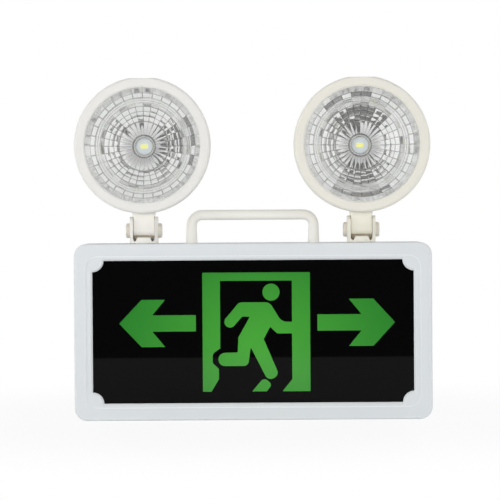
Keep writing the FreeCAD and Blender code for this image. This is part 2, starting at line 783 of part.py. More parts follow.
def terminal_block():
    """Three-pole screw terminal on the rear wall, with wire mouths below and screw wells in front."""
    half = TERMINAL_PITCH * TERMINAL_POLES / 2
    back = INNER_BACK_Y
    front = back - TERMINAL_D
    middle_z = TERMINAL_Z + TERMINAL_H / 2
    body = block(TERMINAL_X - half, TERMINAL_X + half, front, back, TERMINAL_Z, TERMINAL_Z + TERMINAL_H)
    cutters = []
    for x in terminal_centres():
        well = (x, front - THROUGH, middle_z)
        mouth = (x, back - TERMINAL_D / 2, TERMINAL_Z - THROUGH)
        cutters.append(rod(TERMINAL_WELL_R, well, TERMINAL_WELL_L + THROUGH, Y_AXIS))
        cutters.append(rod(TERMINAL_MOUTH_R, mouth, TERMINAL_MOUTH_L + THROUGH, Z_AXIS))
    return less(body, *cutters)


def terminal_screws():
    """The clamp screws in the terminal block's wells."""
    y0 = INNER_BACK_Y - TERMINAL_D + TERMINAL_SCREW_SINK
    z = TERMINAL_Z + TERMINAL_H / 2
    r = TERMINAL_SCREW_R
    half = DRIVER_SLOT_W / 2
    screws = []
    for x in terminal_centres():
        head = rod(r, (x, y0, z), TERMINAL_SCREW_L, Y_AXIS)
        slot = block(x - r, x + r, y0, y0 + DRIVER_SLOT_D, z - half, z + half)
        screws.append(less(head, slot))
    return screws


def cable_grommet():
    """Rubber bush in the cable entry, with a lip on each side of the wall."""
    y0 = INNER_BACK_Y - GROMMET_LIP_T
    lip_in = rod(GROMMET_LIP_R, (CABLE_X, y0, CABLE_Z), GROMMET_LIP_T, Y_AXIS)
    neck = rod(GROMMET_NECK_R, (CABLE_X, y0, CABLE_Z), GROMMET_LIP_T + WALL, Y_AXIS)
    bore = rod(CABLE_R, (CABLE_X, y0 - THROUGH, CABLE_Z), BOX_D, Y_AXIS)
    return less(joined(lip_in, neck), bore)


# ---------------------------------------------------------------- test switch and indicators
def indicator_board():
    """Small upright board that slides into its slot on the rear wall."""
    face = side_board_x()
    return block(
        face - SIDE_BOARD_T, face, INNER_BACK_Y - SIDE_BOARD_D, INNER_BACK_Y, SIDE_BOARD_Z0, SIDE_BOARD_Z1
    )


def indicator_lamp(z):
    """A round lamp with a domed end, flush in its hole."""
    face = side_board_x()
    tip = BOX_W / 2 - FLUSH
    body = rod(LAMP_R, (face, SIDE_Y, z), tip - face, X_AXIS)
    body = body.makeFillet(LAMP_DOME_R, end_rim(body, tip))
    flange = rod(LAMP_FLANGE_R, (face, SIDE_Y, z), LAMP_FLANGE_T, X_AXIS)
    return joined(body, flange)


def test_switch():
    """Square push switch with a well for its plunger."""
    face = side_board_x()
    half = SWITCH_SIDE / 2
    body = block(face, face + SWITCH_H, SIDE_Y - half, SIDE_Y + half, BUTTON_Z - half, BUTTON_Z + half)
    well = rod(PLUNGER_R + PLUNGER_GAP, (face + PLUNGER_WELL_FLOOR, SIDE_Y, BUTTON_Z), SWITCH_H, X_AXIS)
    return less(body, well)


def switch_plunger():
    """The switch's plunger, which the button pushes in."""
    top = side_board_x() + SWITCH_H
    depth = SWITCH_H - PLUNGER_WELL_FLOOR - BUTTON_TRAVEL - PLUNGER_GAP
    return rod(PLUNGER_R, (top - depth, SIDE_Y, BUTTON_Z), depth + PLUNGER_RISE, X_AXIS)


def test_button():
    """Flush round button with a collar that keeps it behind the wall."""
    start = side_board_x() + SWITCH_H + PLUNGER_RISE
    inner_wall = BOX_W / 2 - WALL
    collar_x = inner_wall - BUTTON_GAP - BUTTON_FLANGE_T
    stem = rod(PLUNGER_R, (start, SIDE_Y, BUTTON_Z), collar_x - start + BUTTON_FLANGE_T, X_AXIS)
    collar = rod(BUTTON_FLANGE_R, (collar_x, SIDE_Y, BUTTON_Z), BUTTON_FLANGE_T, X_AXIS)
    tip = BOX_W / 2 - FLUSH
    cap = rod(BUTTON_R, (collar_x, SIDE_Y, BUTTON_Z), tip - collar_x, X_AXIS)
    dish = Part.makeSphere(BUTTON_DISH_R, Vector(tip + BUTTON_DISH_R - BUTTON_DISH_D, SIDE_Y, BUTTON_Z))
    return less(joined(stem, collar, cap), dish)


# ---------------------------------------------------------------- handle
def handle():
    """U-shaped bar with round bends and feet that thicken towards the box."""
    bar_z = BOX_TOP + HANDLE_RISE - HANDLE_R
    bend_z = bar_z - HANDLE_BEND_R
    turn = HANDLE_BEND_R * (1 - math.sqrt(0.5))
    points = []
    for sx in (-1, 1):
        points.append(Vector(sx * HANDLE_X, 0, bend_z))
        points.append(Vector(sx * (HANDLE_X - turn), 0, bar_z - turn))
        points.append(Vector(sx * (HANDLE_X - HANDLE_BEND_R), 0, bar_z))
    path = Part.Wire(
        [
            Part.Arc(points[0], points[1], points[2]).toShape(),
            Part.LineSegment(points[2], points[5]).toShape(),
            Part.Arc(points[5], points[4], points[3]).toShape(),
        ]
    )
    ring = Part.Wire(Part.makeCircle(HANDLE_R, points[0], Z_AXIS))
    bar = path.makePipeShell([ring], True, True)
    pieces = [bar]
    for sx in (-1, 1):
        x = sx * HANDLE_X
        pieces.append(
            Part.makeCone(HANDLE_FOOT_R, HANDLE_R, bend_z - BOX_TOP, Vector(x, 0, BOX_TOP), Z_AXIS)
        )
        pieces.append(rod(HANDLE_FOOT_R, (x, 0, BOX_TOP - HANDLE_SEAT), HANDLE_SEAT, Z_AXIS))
    pilots = [rod(SCREW_R, (sx * HANDLE_X, 0, BOX_TOP - HANDLE_SEAT), SCREW_BITE, Z_AXIS) for sx in (-1, 1)]
    return less(joined(*pieces), *pilots)


def handle_screws():
    """Two screws up through the socket floors into the handle's feet."""
    thin = SCREW_R - SCREW_CLEAR / 4
    z = BOX_TOP - HANDLE_SEAT - SOCKET_FLOOR
    length = SOCKET_FLOOR + SCREW_BITE - SCREW_CLEAR
    return [
        pan_screw(Vector(x, 0, z), Z_AXIS, thin, length, SCREW_HEAD_R, SCREW_HEAD_H)
        for x in (-HANDLE_X, HANDLE_X)
    ]


# ---------------------------------------------------------------- lamp head, modelled about its pivot
def lengthwise_edges(solid, z):
    """The straight edges at a height that run along Y."""
    return [e for e in solid.Edges if abs(e.BoundBox.ZMax - z) < 1e-6 and e.BoundBox.XLength < 1e-6]


def saddle(floor):
    """Hump under the neck, with sloping ends and rounded shoulders."""
    top = -NECK_HALF_D - SADDLE_GAP
    corners = [
        Vector(-SADDLE_FOOT_W / 2, -TURRET_R, floor - TURRET_FLOOR / 2),
        Vector(-SADDLE_TOP_W / 2, -TURRET_R, top),
        Vector(SADDLE_TOP_W / 2, -TURRET_R, top),
        Vector(SADDLE_FOOT_W / 2, -TURRET_R, floor - TURRET_FLOOR / 2),
    ]
    hump = Part.Face(Part.makePolygon(corners + corners[:1])).extrude(Vector(0, 2 * TURRET_R, 0))
    return hump.makeFillet(SADDLE_EDGE_R, lengthwise_edges(hump, top))


def turret():
    """Round turret that turns in the box's top wall: two ears, a saddle, a low back wall and a stem."""
    base = TURRET_LIFT - PIVOT_RISE
    floor = base + TURRET_FLOOR
    drum = rod(TURRET_R, (0, 0, base), -base + EAR_TOP_R, Z_AXIS)
    side = joined(
        block(-TURRET_HALF_W, TURRET_HALF_W, -TURRET_R, TURRET_R, base, 0),
        rod(EAR_TOP_R, (-TURRET_HALF_W, 0, 0), 2 * TURRET_HALF_W, X_AXIS),
    )
    drum = drum.common(side)
    slot = block(-SLOT_HALF_W, SLOT_HALF_W, -TURRET_R, TURRET_R, floor, EAR_TOP_R + THROUGH)
    slot = slot.makeFillet(SLOT_CORNER_R, lengthwise_edges(slot, floor))
    stem = rod(STEM_R, (0, 0, base - STEM_L), STEM_L + TURRET_FLOOR / 2, Z_AXIS)
    stop_y = NECK_HALF_D + STOP_GAP
    stop = block(-SLOT_HALF_W, SLOT_HALF_W, stop_y, stop_y + STOP_T, floor - TURRET_FLOOR / 2, STOP_TOP)
    body = joined(less(drum, slot), saddle(floor).common(drum), stop.common(drum), stem)
    bore = rod(STEM_BORE_R, (0, 0, base - STEM_L - THROUGH), STEM_L + THROUGH, Z_AXIS)
    wire_holes = [
        rod(WIRE_HOLE_R, (x, 0, base - THROUGH), -base, Z_AXIS) for x in (-WIRE_HOLE_X, WIRE_HOLE_X)
    ]
    pin_hole = rod(PIVOT_R + PIVOT_GAP, (-TURRET_R, 0, 0), 2 * TURRET_R, X_AXIS)
    groove = less(
        rod(STEM_R + THROUGH, (0, 0, clip_z()), CLIP_T + FIT_GAP, Z_AXIS),
        rod(STEM_R - CLIP_GROOVE, (0, 0, clip_z()), CLIP_T + FIT_GAP, Z_AXIS),
    )
    return less(body, bore, *wire_holes, pin_hole, groove)


def clip_z():
    """Lower side of the clip's groove, below the wall and the washer."""
    return -PIVOT_RISE - WALL - WASHER_T - 2 * FIT_GAP - CLIP_T


def turret_washer():
    """Flat friction washer between the wall and the clip."""
    z = -PIVOT_RISE - WALL - WASHER_T - FIT_GAP / 2
    disc = rod(WASHER_R, (0, 0, z), WASHER_T, Z_AXIS)
    return less(disc, rod(STEM_R + STEM_GAP, (0, 0, z), WASHER_T, Z_AXIS))


def turret_clip():
    """Open spring clip in the stem's groove."""
    z = clip_z() + FIT_GAP / 2
    ring = rod(CLIP_R, (0, 0, z), CLIP_T, Z_AXIS)
    bore = rod(STEM_R - CLIP_GROOVE + STEM_GAP, (0, 0, z), CLIP_T, Z_AXIS)
    mouth = block(-CLIP_MOUTH / 2, CLIP_MOUTH / 2, 0, CLIP_R, z, z + CLIP_T)
    return less(ring, bore, mouth)


def knob(side):
    """Domed round head against one ear."""
    x = TURRET_HALF_W
    head = rod(KNOB_R, (x, 0, 0), KNOB_H, X_AXIS)
    head = head.makeFillet(KNOB_EDGE_R, end_rim(head, x + KNOB_H))
    return head if side > 0 else head.mirror(ORIGIN, X_AXIS)


def pivot_bolt():
    """The bolt through both ears: its head is the left-hand knob."""
    shank = rod(PIVOT_R, (-TURRET_HALF_W, 0, 0), 2 * TURRET_HALF_W + KNOB_H / 2, X_AXIS)
    return joined(knob(-1), shank)


def pivot_nut():
    """Closed nut on the bolt's end: the right-hand knob."""
    depth = TURRET_HALF_W + KNOB_H / 2 + PIVOT_GAP
    return less(knob(1), rod(PIVOT_R + PIVOT_GAP, (0, 0, 0), depth, X_AXIS))


def neck():
    """The shell's neck: a barrel between the ears and a wider shoulder above them."""
    top = HEAD_RISE - shell_radius_at(0.0) + SHELL_T / 2
    half = NECK_SHOULDER_W / 2
    barrel = rod(NECK_HALF_D, (-NECK_HALF_W, 0, 0), 2 * NECK_HALF_W, X_AXIS)
    web = block(-NECK_HALF_W, NECK_HALF_W, -NECK_HALF_D, NECK_HALF_D, 0, NECK_SHOULDER_R + SHELL_T)
    shoulder = block(-half, half, -NECK_HALF_D, NECK_HALF_D, NECK_SHOULDER_R, top)
    heel_top = HEAD_RISE - shell_radius_at(HEEL_Y) + SHELL_T / 2
    corners = [
        Vector(-half, NECK_HALF_D / 2, NECK_SHOULDER_R),
        Vector(-half, NECK_HALF_D, NECK_SHOULDER_R),
        Vector(-half, HEEL_Y, heel_top),
        Vector(-half, NECK_HALF_D / 2, heel_top),
    ]
    heel = Part.Face(Part.makePolygon(corners + corners[:1])).extrude(Vector(2 * half, 0, 0))
    arch_z = NECK_ARCH_H - NECK_HALF_D - NECK_ARCH_R
    arch = rod(NECK_ARCH_R, (0, -TURRET_R, arch_z), 2 * TURRET_R, Y_AXIS)
    return less(joined(barrel, web, shoulder, heel), arch)


def wire_way():
    """Cutter that hollows the neck, from its foot up into the shell."""
    half_w = NECK_HALF_W - NECK_WALL
    half_d = NECK_HALF_D - NECK_WALL
    top = HEAD_RISE - shell_radius_at(0.0) + 2 * SHELL_T
    return block(-half_w, half_w, -half_d, half_d, -NECK_HALF_D - THROUGH, top)


def shell_arc():
    """Start, middle and end of the dome's outer arc as (radius, y)."""
    start = (RIM_R - SHELL_GAP, RIM_BACK_Y)
    end = (SHELL_BACK_R, SHELL_BACK_Y)
    chord = math.hypot(end[0] - start[0], end[1] - start[1])
    out_r = (end[1] - start[1]) / chord
    out_y = (start[0] - end[0]) / chord
    middle = ((start[0] + end[0]) / 2 + SHELL_BULGE * out_r, (start[1] + end[1]) / 2 + SHELL_BULGE * out_y)
    return start, middle, end


def shell_radius_at(y):
    """The dome's outer radius at a depth, from the circle through its three points."""
    (ax, ay), (bx, by), (cx, cy) = shell_arc()
    d = 2 * (ax * (by - cy) + bx * (cy - ay) + cx * (ay - by))
    ux = ((ax**2 + ay**2) * (by - cy) + (bx**2 + by**2) * (cy - ay) + (cx**2 + cy**2) * (ay - by)) / d
    uy = ((ax**2 + ay**2) * (cx - bx) + (bx**2 + by**2) * (ax - cx) + (cx**2 + cy**2) * (bx - ax)) / d
    radius = math.hypot(ax - ux, ay - uy)
    return ux + math.sqrt(radius**2 - (y - uy) ** 2)


def head_shell():
    """Moulded rear shell of a lamp head, with its neck and the posts for the emitter board."""
    start, middle, end = shell_arc()
    t = SHELL_T
    half_t = t / 2
    thin = t * math.sqrt(0.5)
    outer = turned(
        [
            (0, BOWL_Y),
            (SHELL_INSERT_R, BOWL_Y),
            (SHELL_INSERT_R, RIM_BACK_Y + SHELL_GAP),
            (start[0], RIM_BACK_Y + SHELL_GAP),
            start_lip(start),
            (middle, end),
            (0, SHELL_BACK_Y),
        ]
    )
    inner = turned(
        [
            (0, BOWL_Y),
            (SHELL_INSERT_R - t, BOWL_Y),
            (SHELL_INSERT_R - t, RIM_BACK_Y),
            ((middle[0] - thin, middle[1] - thin), (end[0] - half_t, end[1] - t)),
            (0, SHELL_BACK_Y - t),
        ]
    )
    place = Vector(0, 0, HEAD_RISE)
    outer.translate(place)
    inner.translate(place)
    body = less(joined(outer, neck()), inner)
    posts, holes = [], []
    seat = led_board_y() + LED_BOARD_T
    for sx in (-1, 1):
        at = (sx * LED_POST_X, seat, HEAD_RISE)
        posts.append(rod(LED_POST_R, at, SHELL_BACK_Y - half_t - seat, Y_AXIS))
        holes.append(rod(BOARD_SCREW_R, at, BOARD_SCREW_BITE, Y_AXIS))
    body = joined(body, *posts)
    pin_hole = rod(PIVOT_R + PIVOT_GAP, (-TURRET_R, 0, 0), 2 * TURRET_R, X_AXIS)
    return less(body, pin_hole, wire_way(), *holes)


def start_lip(start):
    """Where the dome begins, just behind the joint with the rim."""
    return (start[0], RIM_BACK_Y + 2 * SHELL_GAP)


def head_rim():
    """Moulded front ring: a rounded flange over the lens and a skirt, with a flat at the very top."""
    body = turned(
        [
            (RIM_BORE_R, LENS_Y),
            (RIM_BORE_R, RIM_FRONT_Y + RIM_FLANGE_T / 3),
            (RIM_BORE_R + RIM_LIP_R / 2, RIM_FRONT_Y),
            (RIM_R - RIM_LIP_R, RIM_FRONT_Y),
            (
                (RIM_R - RIM_LIP_R * (1 - math.sqrt(0.5)), RIM_FRONT_Y + RIM_LIP_R * (1 - math.sqrt(0.5))),
                (RIM_R, RIM_FRONT_Y + RIM_LIP_R),
            ),
            (RIM_R, RIM_BACK_Y),
            (RIM_R - RIM_SKIRT_T, RIM_BACK_Y),
            (RIM_R - RIM_SKIRT_T, LENS_Y),
        ]
    )
    flat_z = math.sqrt(RIM_R**2 - (RIM_FLAT_W / 2) ** 2)
    keep = block(-2 * RIM_R, 2 * RIM_R, RIM_FRONT_Y, RIM_BACK_Y, -2 * RIM_R, flat_z)
    rim = body.common(keep)
    rim.translate(Vector(0, 0, HEAD_RISE))
    return rim


def head_lens():
    """Clear cover: a flat disc clamped between the rim's flange and the reflector."""
    return rod(LENS_R, (0, LENS_Y, HEAD_RISE), LENS_T, Y_AXIS)


def polygon(radius, y, count, turn=0.0, wave=0.0):
    """A closed polygon about the Y axis; wave pulls every second corner towards the axis."""
    points = []
    for n in range(count):
        angle = 2 * math.pi * (n + turn) / count
        r = radius - wave * (n % 2)
        points.append(Vector(r * math.sin(angle), y, r * math.cos(angle)))
    return Part.makePolygon(points + points[:1])


def bowl_y(radius):
    """Depth of the parabola at a radius."""
    return BOWL_Y + (REFLECTOR_MOUTH_R**2 - radius**2) / (4 * REFLECTOR_FOCUS)


def facet_radii():
    """Radii where one row of facets meets the next: three short rows, the ring, the long cells, the lip."""
    rows = [FLUTE_OUTER_R + n * PILLOW_ROW_W for n in range(PILLOW_ROWS + 1)]
    return rows + [(rows[-1] + RING_OUTER_R) / 2, RING_OUTER_R, CELL_OUTER_R, REFLECTOR_MOUTH_R]


def reflector():
    """Faceted mirror bowl: flat facets in rings, flutes round the emitter hole, and a mounting flange."""
    facets = Part.makeLoft([polygon(r, bowl_y(r), FLUTES) for r in facet_radii()], True, True)
    flutes = Part.makeLoft(
        [
            polygon(FLUTE_INNER_R, bowl_y(FLUTE_INNER_R), 2 * FLUTES, 0.0, FLUTE_DEPTH / 2),
            polygon(FLUTE_OUTER_R, bowl_y(FLUTE_OUTER_R), 2 * FLUTES, 0.0, FLUTE_DEPTH),
        ],
        True,
        True,
    )
    seat = bowl_y(FLUTE_INNER_R)
    collar_d = REFLECTOR_COLLAR + THROUGH
    collar = rod(REFLECTOR_HOLE_R, (0, seat - THROUGH, 0), collar_d + THROUGH, Y_AXIS)
    throat_r = REFLECTOR_MOUTH_R * math.cos(math.pi / FLUTES)
    throat = rod(throat_r, (0, REFLECTOR_Y, 0), BOWL_Y - REFLECTOR_Y, Y_AXIS)
    back = [(r + REFLECTOR_T, bowl_y(r) + REFLECTOR_T / 2) for r in (FLUTE_INNER_R, *facet_radii())]
    back.append((REFLECTOR_MOUTH_R + REFLECTOR_T, REFLECTOR_Y + REFLECTOR_FLANGE_T / 2))
    skin = Part.makeLoft([polygon(r, y, FLUTES) for r, y in back], True, True)
    plug_r = FLUTE_INNER_R + REFLECTOR_T / 2
    plug = rod(plug_r, (0, seat - THROUGH / 2, 0), REFLECTOR_COLLAR + THROUGH / 2, Y_AXIS)
    flange = rod(LENS_R, (0, REFLECTOR_Y, 0), REFLECTOR_FLANGE_T, Y_AXIS)
    body = less(joined(skin, plug, flange), facets, flutes, collar, throat)
    body.translate(Vector(0, 0, HEAD_RISE))
    return body


def led_board_y():
    """Front face of the emitter board, just behind the reflector's collar."""
    return bowl_y(FLUTE_INNER_R) + REFLECTOR_COLLAR + LED_BOARD_GAP


def led_board():
    """Round metal-core board for the emitter."""
    y = led_board_y()
    board = rod(LED_BOARD_R, (0, y, HEAD_RISE), LED_BOARD_T, Y_AXIS)
    hole_r = BOARD_SCREW_R + SCREW_CLEAR
    drill = LED_BOARD_T + 2 * THROUGH
    holes = [rod(hole_r, (sx * LED_POST_X, y - THROUGH, HEAD_RISE), drill, Y_AXIS) for sx in (-1, 1)]
    return less(board, *holes)


def led_emitter():
    """The white light emitter, a flat rectangular package."""
    y = led_board_y()
    return block(
        -EMITTER_W / 2, EMITTER_W / 2, y - EMITTER_T, y, HEAD_RISE - EMITTER_D / 2, HEAD_RISE + EMITTER_D / 2
    )


def led_board_screws():
    """Two screws that hold the emitter board."""
    y = led_board_y()
    thin = BOARD_SCREW_R - SCREW_CLEAR / 4
    length = LED_BOARD_T + BOARD_SCREW_BITE - SCREW_CLEAR
    return [
        pan_screw(
            Vector(sx * LED_POST_X, y, HEAD_RISE), Y_AXIS, thin, length, BOARD_SCREW_HEAD_R, LED_SCREW_HEAD_H
        )
        for sx in (-1, 1)
    ]


# ---------------------------------------------------------------- the whole
HEAD_PIECES = {
    "turret": turret,
    "turret_washer": turret_washer,
    "turret_clip": turret_clip,
    "pivot_bolt": pivot_bolt,
    "pivot_nut": pivot_nut,
    "head_shell": head_shell,
    "head_rim": head_rim,
    "head_lens": head_lens,
    "reflector": reflector,
    "led_board": led_board,
    "led_emitter": led_emitter,
    "led_board_screws": led_board_screws,
}

BOX_PIECES = {
    "front_frame": front_frame,
    "rear_housing": rear_housing,
    "frame_screws": frame_screws,
    "sign_panel": lambda: sign_sheet(PANEL_Y, PANEL_T, PANEL_LAP),
    "light_guide": lambda: sign_sheet(GUIDE_Y, GUIDE_T, guide_lap()),
    "backing_plate": lambda: sign_sheet(BACKING_Y, BACKING_T, PANEL_LAP),
    "backlight_strip_top": lambda: backlight_strip(1),
    "backlight_strip_bottom": lambda: backlight_strip(-1),
    "backlight_leds": backlight_leds,
    "main_board": main_board,
    "transformer": transformer,
    "capacitors": capacitors,
    "wire_sockets": wire_sockets,
    "board_screws": board_screws,
    "battery_pack": battery_pack,
    "battery_strap": battery_strap,
    "strap_screws": strap_screws,
    "terminal_block": terminal_block,
    "terminal_screws": terminal_screws,
    "cable_grommet": cable_grommet,
    "indicator_board": indicator_board,
    "lamp_green": lambda: indicator_lamp(LAMP_Z[0]),
    "lamp_red": lambda: indicator_lamp(LAMP_Z[1]),
    "lamp_yellow": lambda: indicator_lamp(LAMP_Z[2]),
    "test_switch": test_switch,
    "switch_plunger": switch_plunger,
    "test_button": test_button,
    "handle": handle,
    "handle_screws": handle_screws,
}


def save(name, made):
    """Writes one node: a solid, or a group of separate solids."""
    solids = made if isinstance(made, list) else [made]
    shape = Part.makeCompound([s for item in solids for s in item.Solids])
    bad = [s for s in shape.Solids if not s.isValid()]
    note = "  NOT VALID" if bad else ""
    print(f"{name:24s} {len(shape.Solids):3d} solid(s) {shape.Volume / 1000:9.3f} cm3{note}")
    shape.exportStep(f"parts/{name}.step")


def main():
    os.makedirs("parts", exist_ok=True)
    for name, make in BOX_PIECES.items():
        save(name, make())
    for name, make in HEAD_PIECES.items():
        made = make()
        solids = made if isinstance(made, list) else [made]
        for side, x in (("left", -HEAD_X), ("right", HEAD_X)):
            placed = [s.translated(Vector(x, 0, PIVOT_Z)) for s in solids]
            save(f"{side}_{name}", placed)


main()
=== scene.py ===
import math

import bpy
import numpy as np
from mathutils import Matrix, Vector


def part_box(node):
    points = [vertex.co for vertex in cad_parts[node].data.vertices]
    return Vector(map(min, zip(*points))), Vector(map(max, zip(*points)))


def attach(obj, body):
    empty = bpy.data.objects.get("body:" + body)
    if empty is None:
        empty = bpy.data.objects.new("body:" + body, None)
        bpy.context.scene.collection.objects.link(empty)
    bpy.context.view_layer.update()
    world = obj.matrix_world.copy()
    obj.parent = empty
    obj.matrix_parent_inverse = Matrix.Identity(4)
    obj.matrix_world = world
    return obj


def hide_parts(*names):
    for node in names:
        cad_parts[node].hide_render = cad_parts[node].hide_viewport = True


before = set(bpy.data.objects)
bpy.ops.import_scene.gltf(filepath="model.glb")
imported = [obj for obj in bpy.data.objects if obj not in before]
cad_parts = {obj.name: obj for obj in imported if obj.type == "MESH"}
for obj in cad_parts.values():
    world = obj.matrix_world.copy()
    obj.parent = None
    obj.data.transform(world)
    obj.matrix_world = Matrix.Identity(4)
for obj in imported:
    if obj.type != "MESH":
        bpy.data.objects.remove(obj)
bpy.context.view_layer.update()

# ------------------------------------------------------------------ room and camera
# The light stands on a white bench that sweeps up into a white wall. Soft boxes light it from both sides,
# from above, from the front and from behind. The room in front of the bench is dim, and dark cards near
# the lamp heads give their bright bowls something to mirror.
MM = 0.001


def add_node(nodes, kind, inputs=None, **settings):
    """Adds a shader node of a kind, with its settings and the values of its sockets by name or number."""
    node = nodes.new("ShaderNode" + kind)
    for name, value in settings.items():
        setattr(node, name, value)
    for key, value in (inputs or {}).items():
        node.inputs[key].default_value = value
    return node


def plain_material(name, colour, roughness, metallic=0.0, ior=1.5):
    """A Principled material with constant values, and its node tree and shader for what is added."""
    material = bpy.data.materials.new(name)
    material.use_nodes = True
    shader = material.node_tree.nodes["Principled BSDF"]
    shader.inputs["Base Color"].default_value = (*colour, 1.0)
    shader.inputs["Roughness"].default_value = roughness
    shader.inputs["Metallic"].default_value = metallic
    shader.inputs["IOR"].default_value = ior
    return material, material.node_tree, shader


def sheet_object(name, points, faces):
    """An object made of points and faces, at the origin with its place in its mesh."""
    mesh = bpy.data.meshes.new(name)
    mesh.from_pydata(np.asarray(points, dtype=float).tolist(), [], np.asarray(faces).tolist())
    mesh.update()
    piece = bpy.data.objects.new(name, mesh)
    bpy.context.scene.collection.objects.link(piece)
    return piece


def grid_faces(rows, columns, close_rows=False, close_columns=False):
    """Quads of a grid with rows x columns points, wrapped round where a direction is closed."""
    r = np.arange(rows if close_rows else rows - 1)[:, None]
    c = np.arange(columns if close_columns else columns - 1)[None, :]
    r1, c1 = (r + 1) % rows, (c + 1) % columns
    quads = np.stack([r * columns + c, r * columns + c1, r1 * columns + c1, r1 * columns + c], axis=-1)
    return quads.reshape(-1, 4)


ROOM_HALF_W = 2.2
ROOM_FRONT_Y = -0.80
ROOM_BACK_Y = 2.0
WALL_H = 2.6
SWEEP_R = 0.6
SWEEP_POINTS = 17


def bench_surface():
    """One profile carried along X: it runs back, sweeps up in a quarter circle and goes on as the wall."""
    turn = np.linspace(0.0, math.pi / 2, SWEEP_POINTS)
    sweep_y = ROOM_BACK_Y + SWEEP_R * np.sin(turn)
    sweep_z = SWEEP_R * (1.0 - np.cos(turn))
    y = np.concatenate([[ROOM_FRONT_Y], sweep_y, [ROOM_BACK_Y + SWEEP_R]])
    z = np.concatenate([[0.0], sweep_z, [WALL_H]])
    x = np.array([-ROOM_HALF_W, ROOM_HALF_W])
    points = np.stack(np.broadcast_arrays(x[None, :], y[:, None], z[:, None]), axis=-1).reshape(-1, 3)
    return points, grid_faces(len(y), 2)


def backdrop_share(tree, through_cover):
    """How far a ray sees plain white: fully from the camera, partly once it has passed a clear cover."""
    seen = add_node(tree.nodes, "LightPath")
    partly = add_node(tree.nodes, "Math", {1: through_cover}, operation="MULTIPLY")
    share = add_node(tree.nodes, "Math", operation="MAXIMUM")
    tree.links.new(seen.outputs["Is Transmission Ray"], partly.inputs[0])
    tree.links.new(seen.outputs["Is Camera Ray"], share.inputs[0])
    tree.links.new(partly.outputs[0], share.inputs[1])
    return share.outputs[0]


SHADE_FROM, SHADE_TO, NEAR_WHITENESS = 0.16, 0.45, 0.90
BENCH_THROUGH_COVER, ROOM_THROUGH_COVER = 0.7, 0.62


def bench_white():
    """White laminate, seen as plain white but for a share of its own shading close to the light."""
    material, tree, shader = plain_material("bench_white", (0.93, 0.93, 0.93), 0.45)
    place = add_node(tree.nodes, "TexCoord")
    reach = add_node(tree.nodes, "VectorMath", operation="LENGTH")
    whiteness = add_node(
        tree.nodes,
        "MapRange",
        {"From Min": SHADE_FROM, "From Max": SHADE_TO, "To Min": NEAR_WHITENESS},
        interpolation_type="SMOOTHSTEP",
    )
    level = add_node(tree.nodes, "Math", operation="MULTIPLY")
    glow = add_node(tree.nodes, "Emission")
    blend = add_node(tree.nodes, "MixShader")
    tree.links.new(place.outputs["Object"], reach.inputs[0])
    tree.links.new(reach.outputs["Value"], whiteness.inputs["Value"])
    tree.links.new(backdrop_share(tree, BENCH_THROUGH_COVER), level.inputs[0])
    tree.links.new(whiteness.outputs["Result"], level.inputs[1])
    tree.links.new(level.outputs[0], blend.inputs["Fac"])
    tree.links.new(shader.outputs[0], blend.inputs[1])
    tree.links.new(glow.outputs[0], blend.inputs[2])
    tree.links.new(blend.outputs[0], tree.nodes["Material Output"].inputs["Surface"])
    return material


bench = sheet_object("bench", *bench_surface())
bench.data.materials.append(bench_white())


def grey_ramp(nodes, stops):
    """A ramp of greys from (place, level) stops, with the places from 0 to 1."""
    ramp = add_node(nodes, "ValToRGB")
    while len(ramp.color_ramp.elements) < len(stops):
        ramp.color_ramp.elements.new(0.5)
    for stop, (at, grey) in zip(ramp.color_ramp.elements, stops):
        stop.position = at
        stop.color = (grey, grey, grey, 1)
    return ramp


def room_ramp(tree, split, axis, stops):
    """A grey level along one axis of the room, from (place, level) stops with the places from -1 to 1."""
    shift = add_node(tree.nodes, "Math", {1: 0.5, 2: 0.5}, operation="MULTIPLY_ADD")
    ramp = grey_ramp(tree.nodes, [((at + 1) / 2, grey) for at, grey in stops])
    ramp.color_ramp.interpolation = "EASE"
    tree.links.new(split.outputs[axis], shift.inputs[0])
    tree.links.new(shift.outputs[0], ramp.inputs["Fac"])
    return ramp.outputs["Color"]


DIM_FRONT = [(-1.0, 0.01), (-0.993, 0.02)]
PALE_BAND = [(-0.975, 0.5), (-0.92, 0.5)]
DIM_RING = [(-0.87, 0.12), (-0.66, 0.15)]
BRIGHT_SIDES = [(-0.57, 0.9), (0.5, 0.9)]
UP_AND_DOWN = [(-1.0, 1.0), (0.2, 1.0), (0.5, 0.7), (1.0, 0.45)]
LEFT_TO_RIGHT = [(-1.0, 0.97), (-0.8, 0.97), (-0.5, 0.97), (1.0, 1.0)]


def light_room():
    """The room as a world: the product of three grey ramps, front to back, up and down, and across."""
    world = bpy.data.worlds.new("room")
    world.use_nodes = True
    tree = world.node_tree
    direction = add_node(tree.nodes, "TexCoord")
    split = add_node(tree.nodes, "SeparateXYZ")
    tree.links.new(direction.outputs["Generated"], split.inputs[0])
    depth = room_ramp(tree, split, "Y", DIM_FRONT + PALE_BAND + DIM_RING + BRIGHT_SIDES)
    height = room_ramp(tree, split, "Z", UP_AND_DOWN)
    breadth = room_ramp(tree, split, "X", LEFT_TO_RIGHT)
    shade = add_node(tree.nodes, "VectorMath", operation="MULTIPLY")
    shade_across = add_node(tree.nodes, "VectorMath", operation="MULTIPLY")
    whiten = add_node(tree.nodes, "Mix", {"B": (1, 1, 1, 1)}, data_type="RGBA")
    tree.links.new(depth, shade.inputs[0])
    tree.links.new(height, shade.inputs[1])
    tree.links.new(shade.outputs[0], shade_across.inputs[0])
    tree.links.new(breadth, shade_across.inputs[1])
    tree.links.new(shade_across.outputs[0], whiten.inputs["A"])
    tree.links.new(backdrop_share(tree, ROOM_THROUGH_COVER), whiten.inputs["Factor"])
    tree.links.new(whiten.outputs["Result"], tree.nodes["Background"].inputs["Color"])
    return world


bpy.context.scene.world = light_room()

